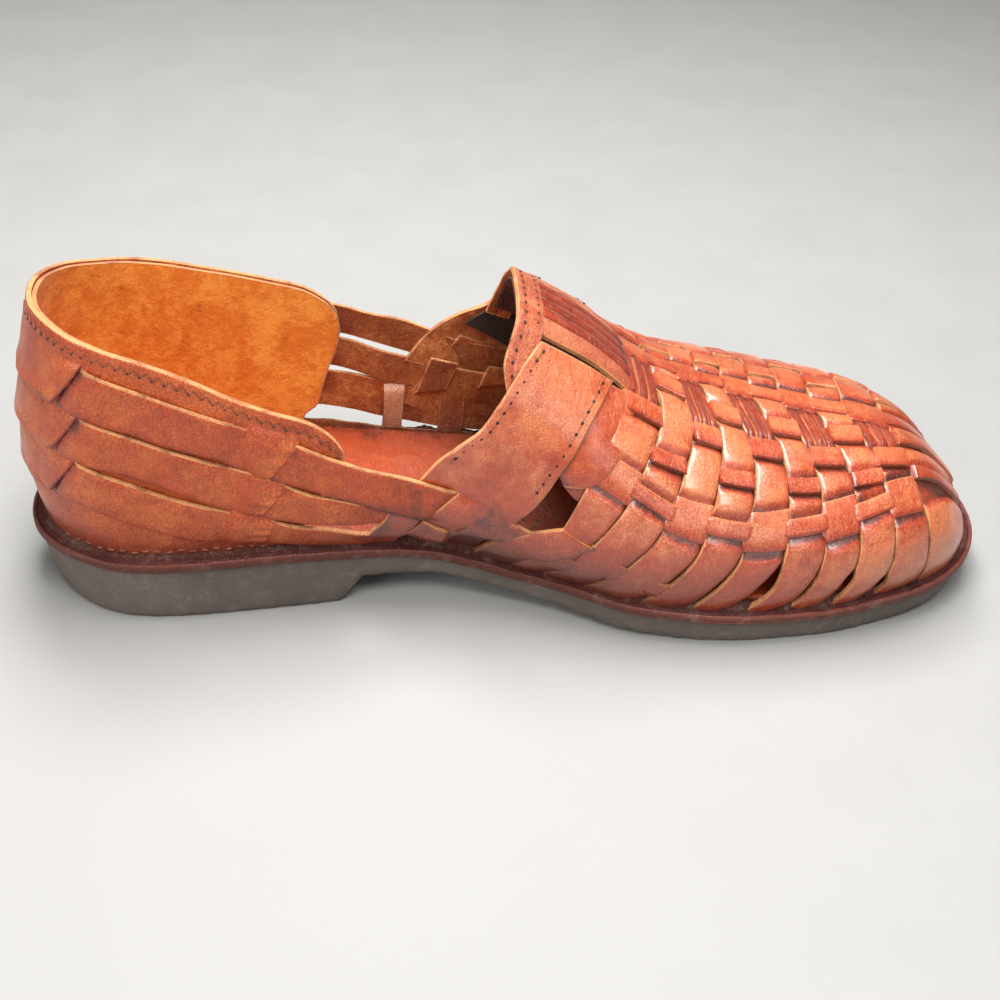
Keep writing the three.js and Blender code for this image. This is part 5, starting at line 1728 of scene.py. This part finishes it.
def make_stage(looks):
    """Wide pale floor, five soft lights and the camera, placed by its angles round the point it looks at."""
    across = np.linspace(-3.0, 3.0, 14)
    along = np.linspace(-2.0, 6.0, 18)[:, None]
    grid = joined(across, along, 0.0)
    mesh = bpy.data.meshes.new("studio_floor")
    mesh.from_pydata(grid.reshape(-1, 3).tolist(), [], quads(18, 14)[:, ::-1].tolist())
    mesh.shade_smooth()
    mesh.materials.append(paper("studio_paper", tuple(looks.floor)))
    linked("studio_floor", mesh)

    world = bpy.data.worlds.new("studio_air")
    world.use_nodes = True
    air = world.node_tree.nodes["Background"].inputs
    air["Color"].default_value = colour((1.0, 1.0, 1.0))
    air["Strength"].default_value = looks.air
    bpy.context.scene.world = world
    bpy.context.scene.view_settings.view_transform = "Standard"

    for name, place, aim, wide, share, tint in LAMPS:
        lamp = bpy.data.lights.new(name, "AREA")
        lamp.shape = "DISK"
        lamp.size = wide
        lamp.energy = looks.key * share
        lamp.color = tint
        rig = linked(name, lamp)
        rig.location = place
        rig.rotation_euler = (Vector(aim) - Vector(place)).to_track_quat("-Z", "Y").to_euler()

    turn, tilt, roll = (math.radians(angle) for angle in (CAMERA_TURN, CAMERA_TILT, CAMERA_ROLL))
    ahead = np.array([math.sin(turn) * math.cos(tilt), math.cos(turn) * math.cos(tilt), -math.sin(tilt)])
    right = np.array([math.cos(turn), -math.sin(turn), 0.0])
    up = np.cross(right, ahead)
    right, up = math.cos(roll) * right + math.sin(roll) * up, math.cos(roll) * up - math.sin(roll) * right
    place = (np.array(CAMERA_AIM) - (MIDDLE_X, MIDDLE_Y, 0)) * MM - ahead * CAMERA_DISTANCE
    lens = bpy.data.cameras.new("studio_camera")
    lens.sensor_width = 36.0
    lens.lens = CAMERA_LENS
    lens.shift_y = CAMERA_SHIFT
    lens.clip_start = 0.01
    camera = linked("studio_camera", lens)
    axes = np.eye(4)
    axes[:3] = np.stack([right, up, -ahead, place], 1)
    camera.matrix_world = Matrix(axes.tolist())
    bpy.context.scene.camera = camera


# -------------------- what a user changes
class SandalLooks(bpy.types.PropertyGroup):
    """Colours and light of the sandal."""
    # shadow is the painted shade colour in the folds, glow the painted highlight colour on the crests
    shadow: FloatVectorProperty(name="Painted shade in the folds", description="Colour where a strap tucks under",
                                subtype="COLOR", size=3, min=0, max=1, default=(0.090, 0.0085, 0.002))
    body: FloatVectorProperty(name="Body of the dye", description="Main colour of the straps",
                              subtype="COLOR", size=3, min=0, max=1, default=(0.43, 0.044, 0.0035))
    glow: FloatVectorProperty(name="Painted highlight on the crest", description="Colour on the crest of a strap",
                              subtype="COLOR", size=3, min=0, max=1, default=(0.66, 0.175, 0.060))
    floor: FloatVectorProperty(name="Floor", description="Colour of the studio floor",
                               subtype="COLOR", size=3, min=0, max=1, default=(0.33, 0.33, 0.325))
    key: FloatProperty(name="Key light", description="Power of the main soft light", default=10.2, min=0.0,
                       unit="POWER")
    air: FloatProperty(name="Air light", description="Strength of the even light all round", default=0.10,
                       min=0.0)


class SandalSizes(bpy.types.PropertyGroup):
    """Sizes of the leather."""
    strap: FloatProperty(name="Strap thickness", description="Thickness of a side strap or a cross strip",
                         default=0.0015, unit="LENGTH", min=0.0005, max=0.003)


# -------------------- operators
def operator(idname, label, make):
    """One operator that makes one piece or one group of like pieces, described by its maker's docstring."""

    def execute(self, context):
        make()
        return {"FINISHED"}

    return type("SANDAL_OT_" + idname, (bpy.types.Operator,), {
        "bl_idname": "sandal." + idname, "bl_label": label, "__doc__": make.__doc__, "execute": execute})


PIECES = [operator(*row) for row in (
    ("outsole", "Outsole", make_outsole),
    ("welt", "Midsole welt", make_welt),
    ("insole", "Insole", make_insole),
    ("feather", "Feather band", make_feather_band),
    ("counter", "Counter shell", make_counter),
    ("lining", "Counter lining", make_lining),
    ("straps", "Side straps", make_straps),
    ("bridges", "Counter bridges", make_bridges),
    ("tongues", "Counter tongues", make_tongues),
    ("uprights", "Uprights at the waist", make_uprights),
    ("vamp", "Vamp cross strips", make_cross_woven),
    ("rows", "Vamp rows", make_rows),
    ("bands", "Side bands", make_bands),
    ("lower", "Lower weave", make_lower_weave),
    ("tab", "Instep tab", make_tab),
    ("gores", "Elastic gores", make_gores),
    ("stitching", "Stitching", make_stitching),
)]


class SANDAL_OT_stage(bpy.types.Operator):
    """Makes the floor, the lights and the camera"""
    bl_idname = "sandal.stage"
    bl_label = "Studio stage"

    def execute(self, context):
        make_stage(context.scene.sandal_looks)
        return {"FINISHED"}


class SANDAL_PT_panel(bpy.types.Panel):
    """Lists the sandal's pieces, sizes and colours"""
    bl_label = "Huarache sandal"
    bl_space_type = "VIEW_3D"
    bl_region_type = "UI"
    bl_category = "Sandal"

    def draw(self, context):
        layout = self.layout
        for piece in PIECES + [SANDAL_OT_stage]:
            layout.operator(piece.bl_idname)
        for key in ("shadow", "body", "glow", "floor", "key", "air"):
            layout.prop(context.scene.sandal_looks, key)
        layout.prop(context.scene.sandal_sizes, "strap")


CLASSES = [SandalLooks, SandalSizes, *PIECES, SANDAL_OT_stage, SANDAL_PT_panel]


def register():
    """Registers the classes and hangs their values on the scene."""
    for kind in CLASSES:
        bpy.utils.register_class(kind)
    bpy.types.Scene.sandal_looks = PointerProperty(type=SandalLooks)
    bpy.types.Scene.sandal_sizes = PointerProperty(type=SandalSizes)


def unregister():
    """Takes the values and the classes away again."""
    del bpy.types.Scene.sandal_looks
    del bpy.types.Scene.sandal_sizes
    for kind in reversed(CLASSES):
        bpy.utils.unregister_class(kind)


def main():
    """Makes the whole sandal and its stage, then notes the two boxes."""
    register()
    for piece in PIECES + [SANDAL_OT_stage]:
        group_name, call = piece.bl_idname.split(".")
        getattr(getattr(bpy.ops, group_name), call)()
    bpy.context.view_layer.update()


if __name__ == "__main__":
    main()
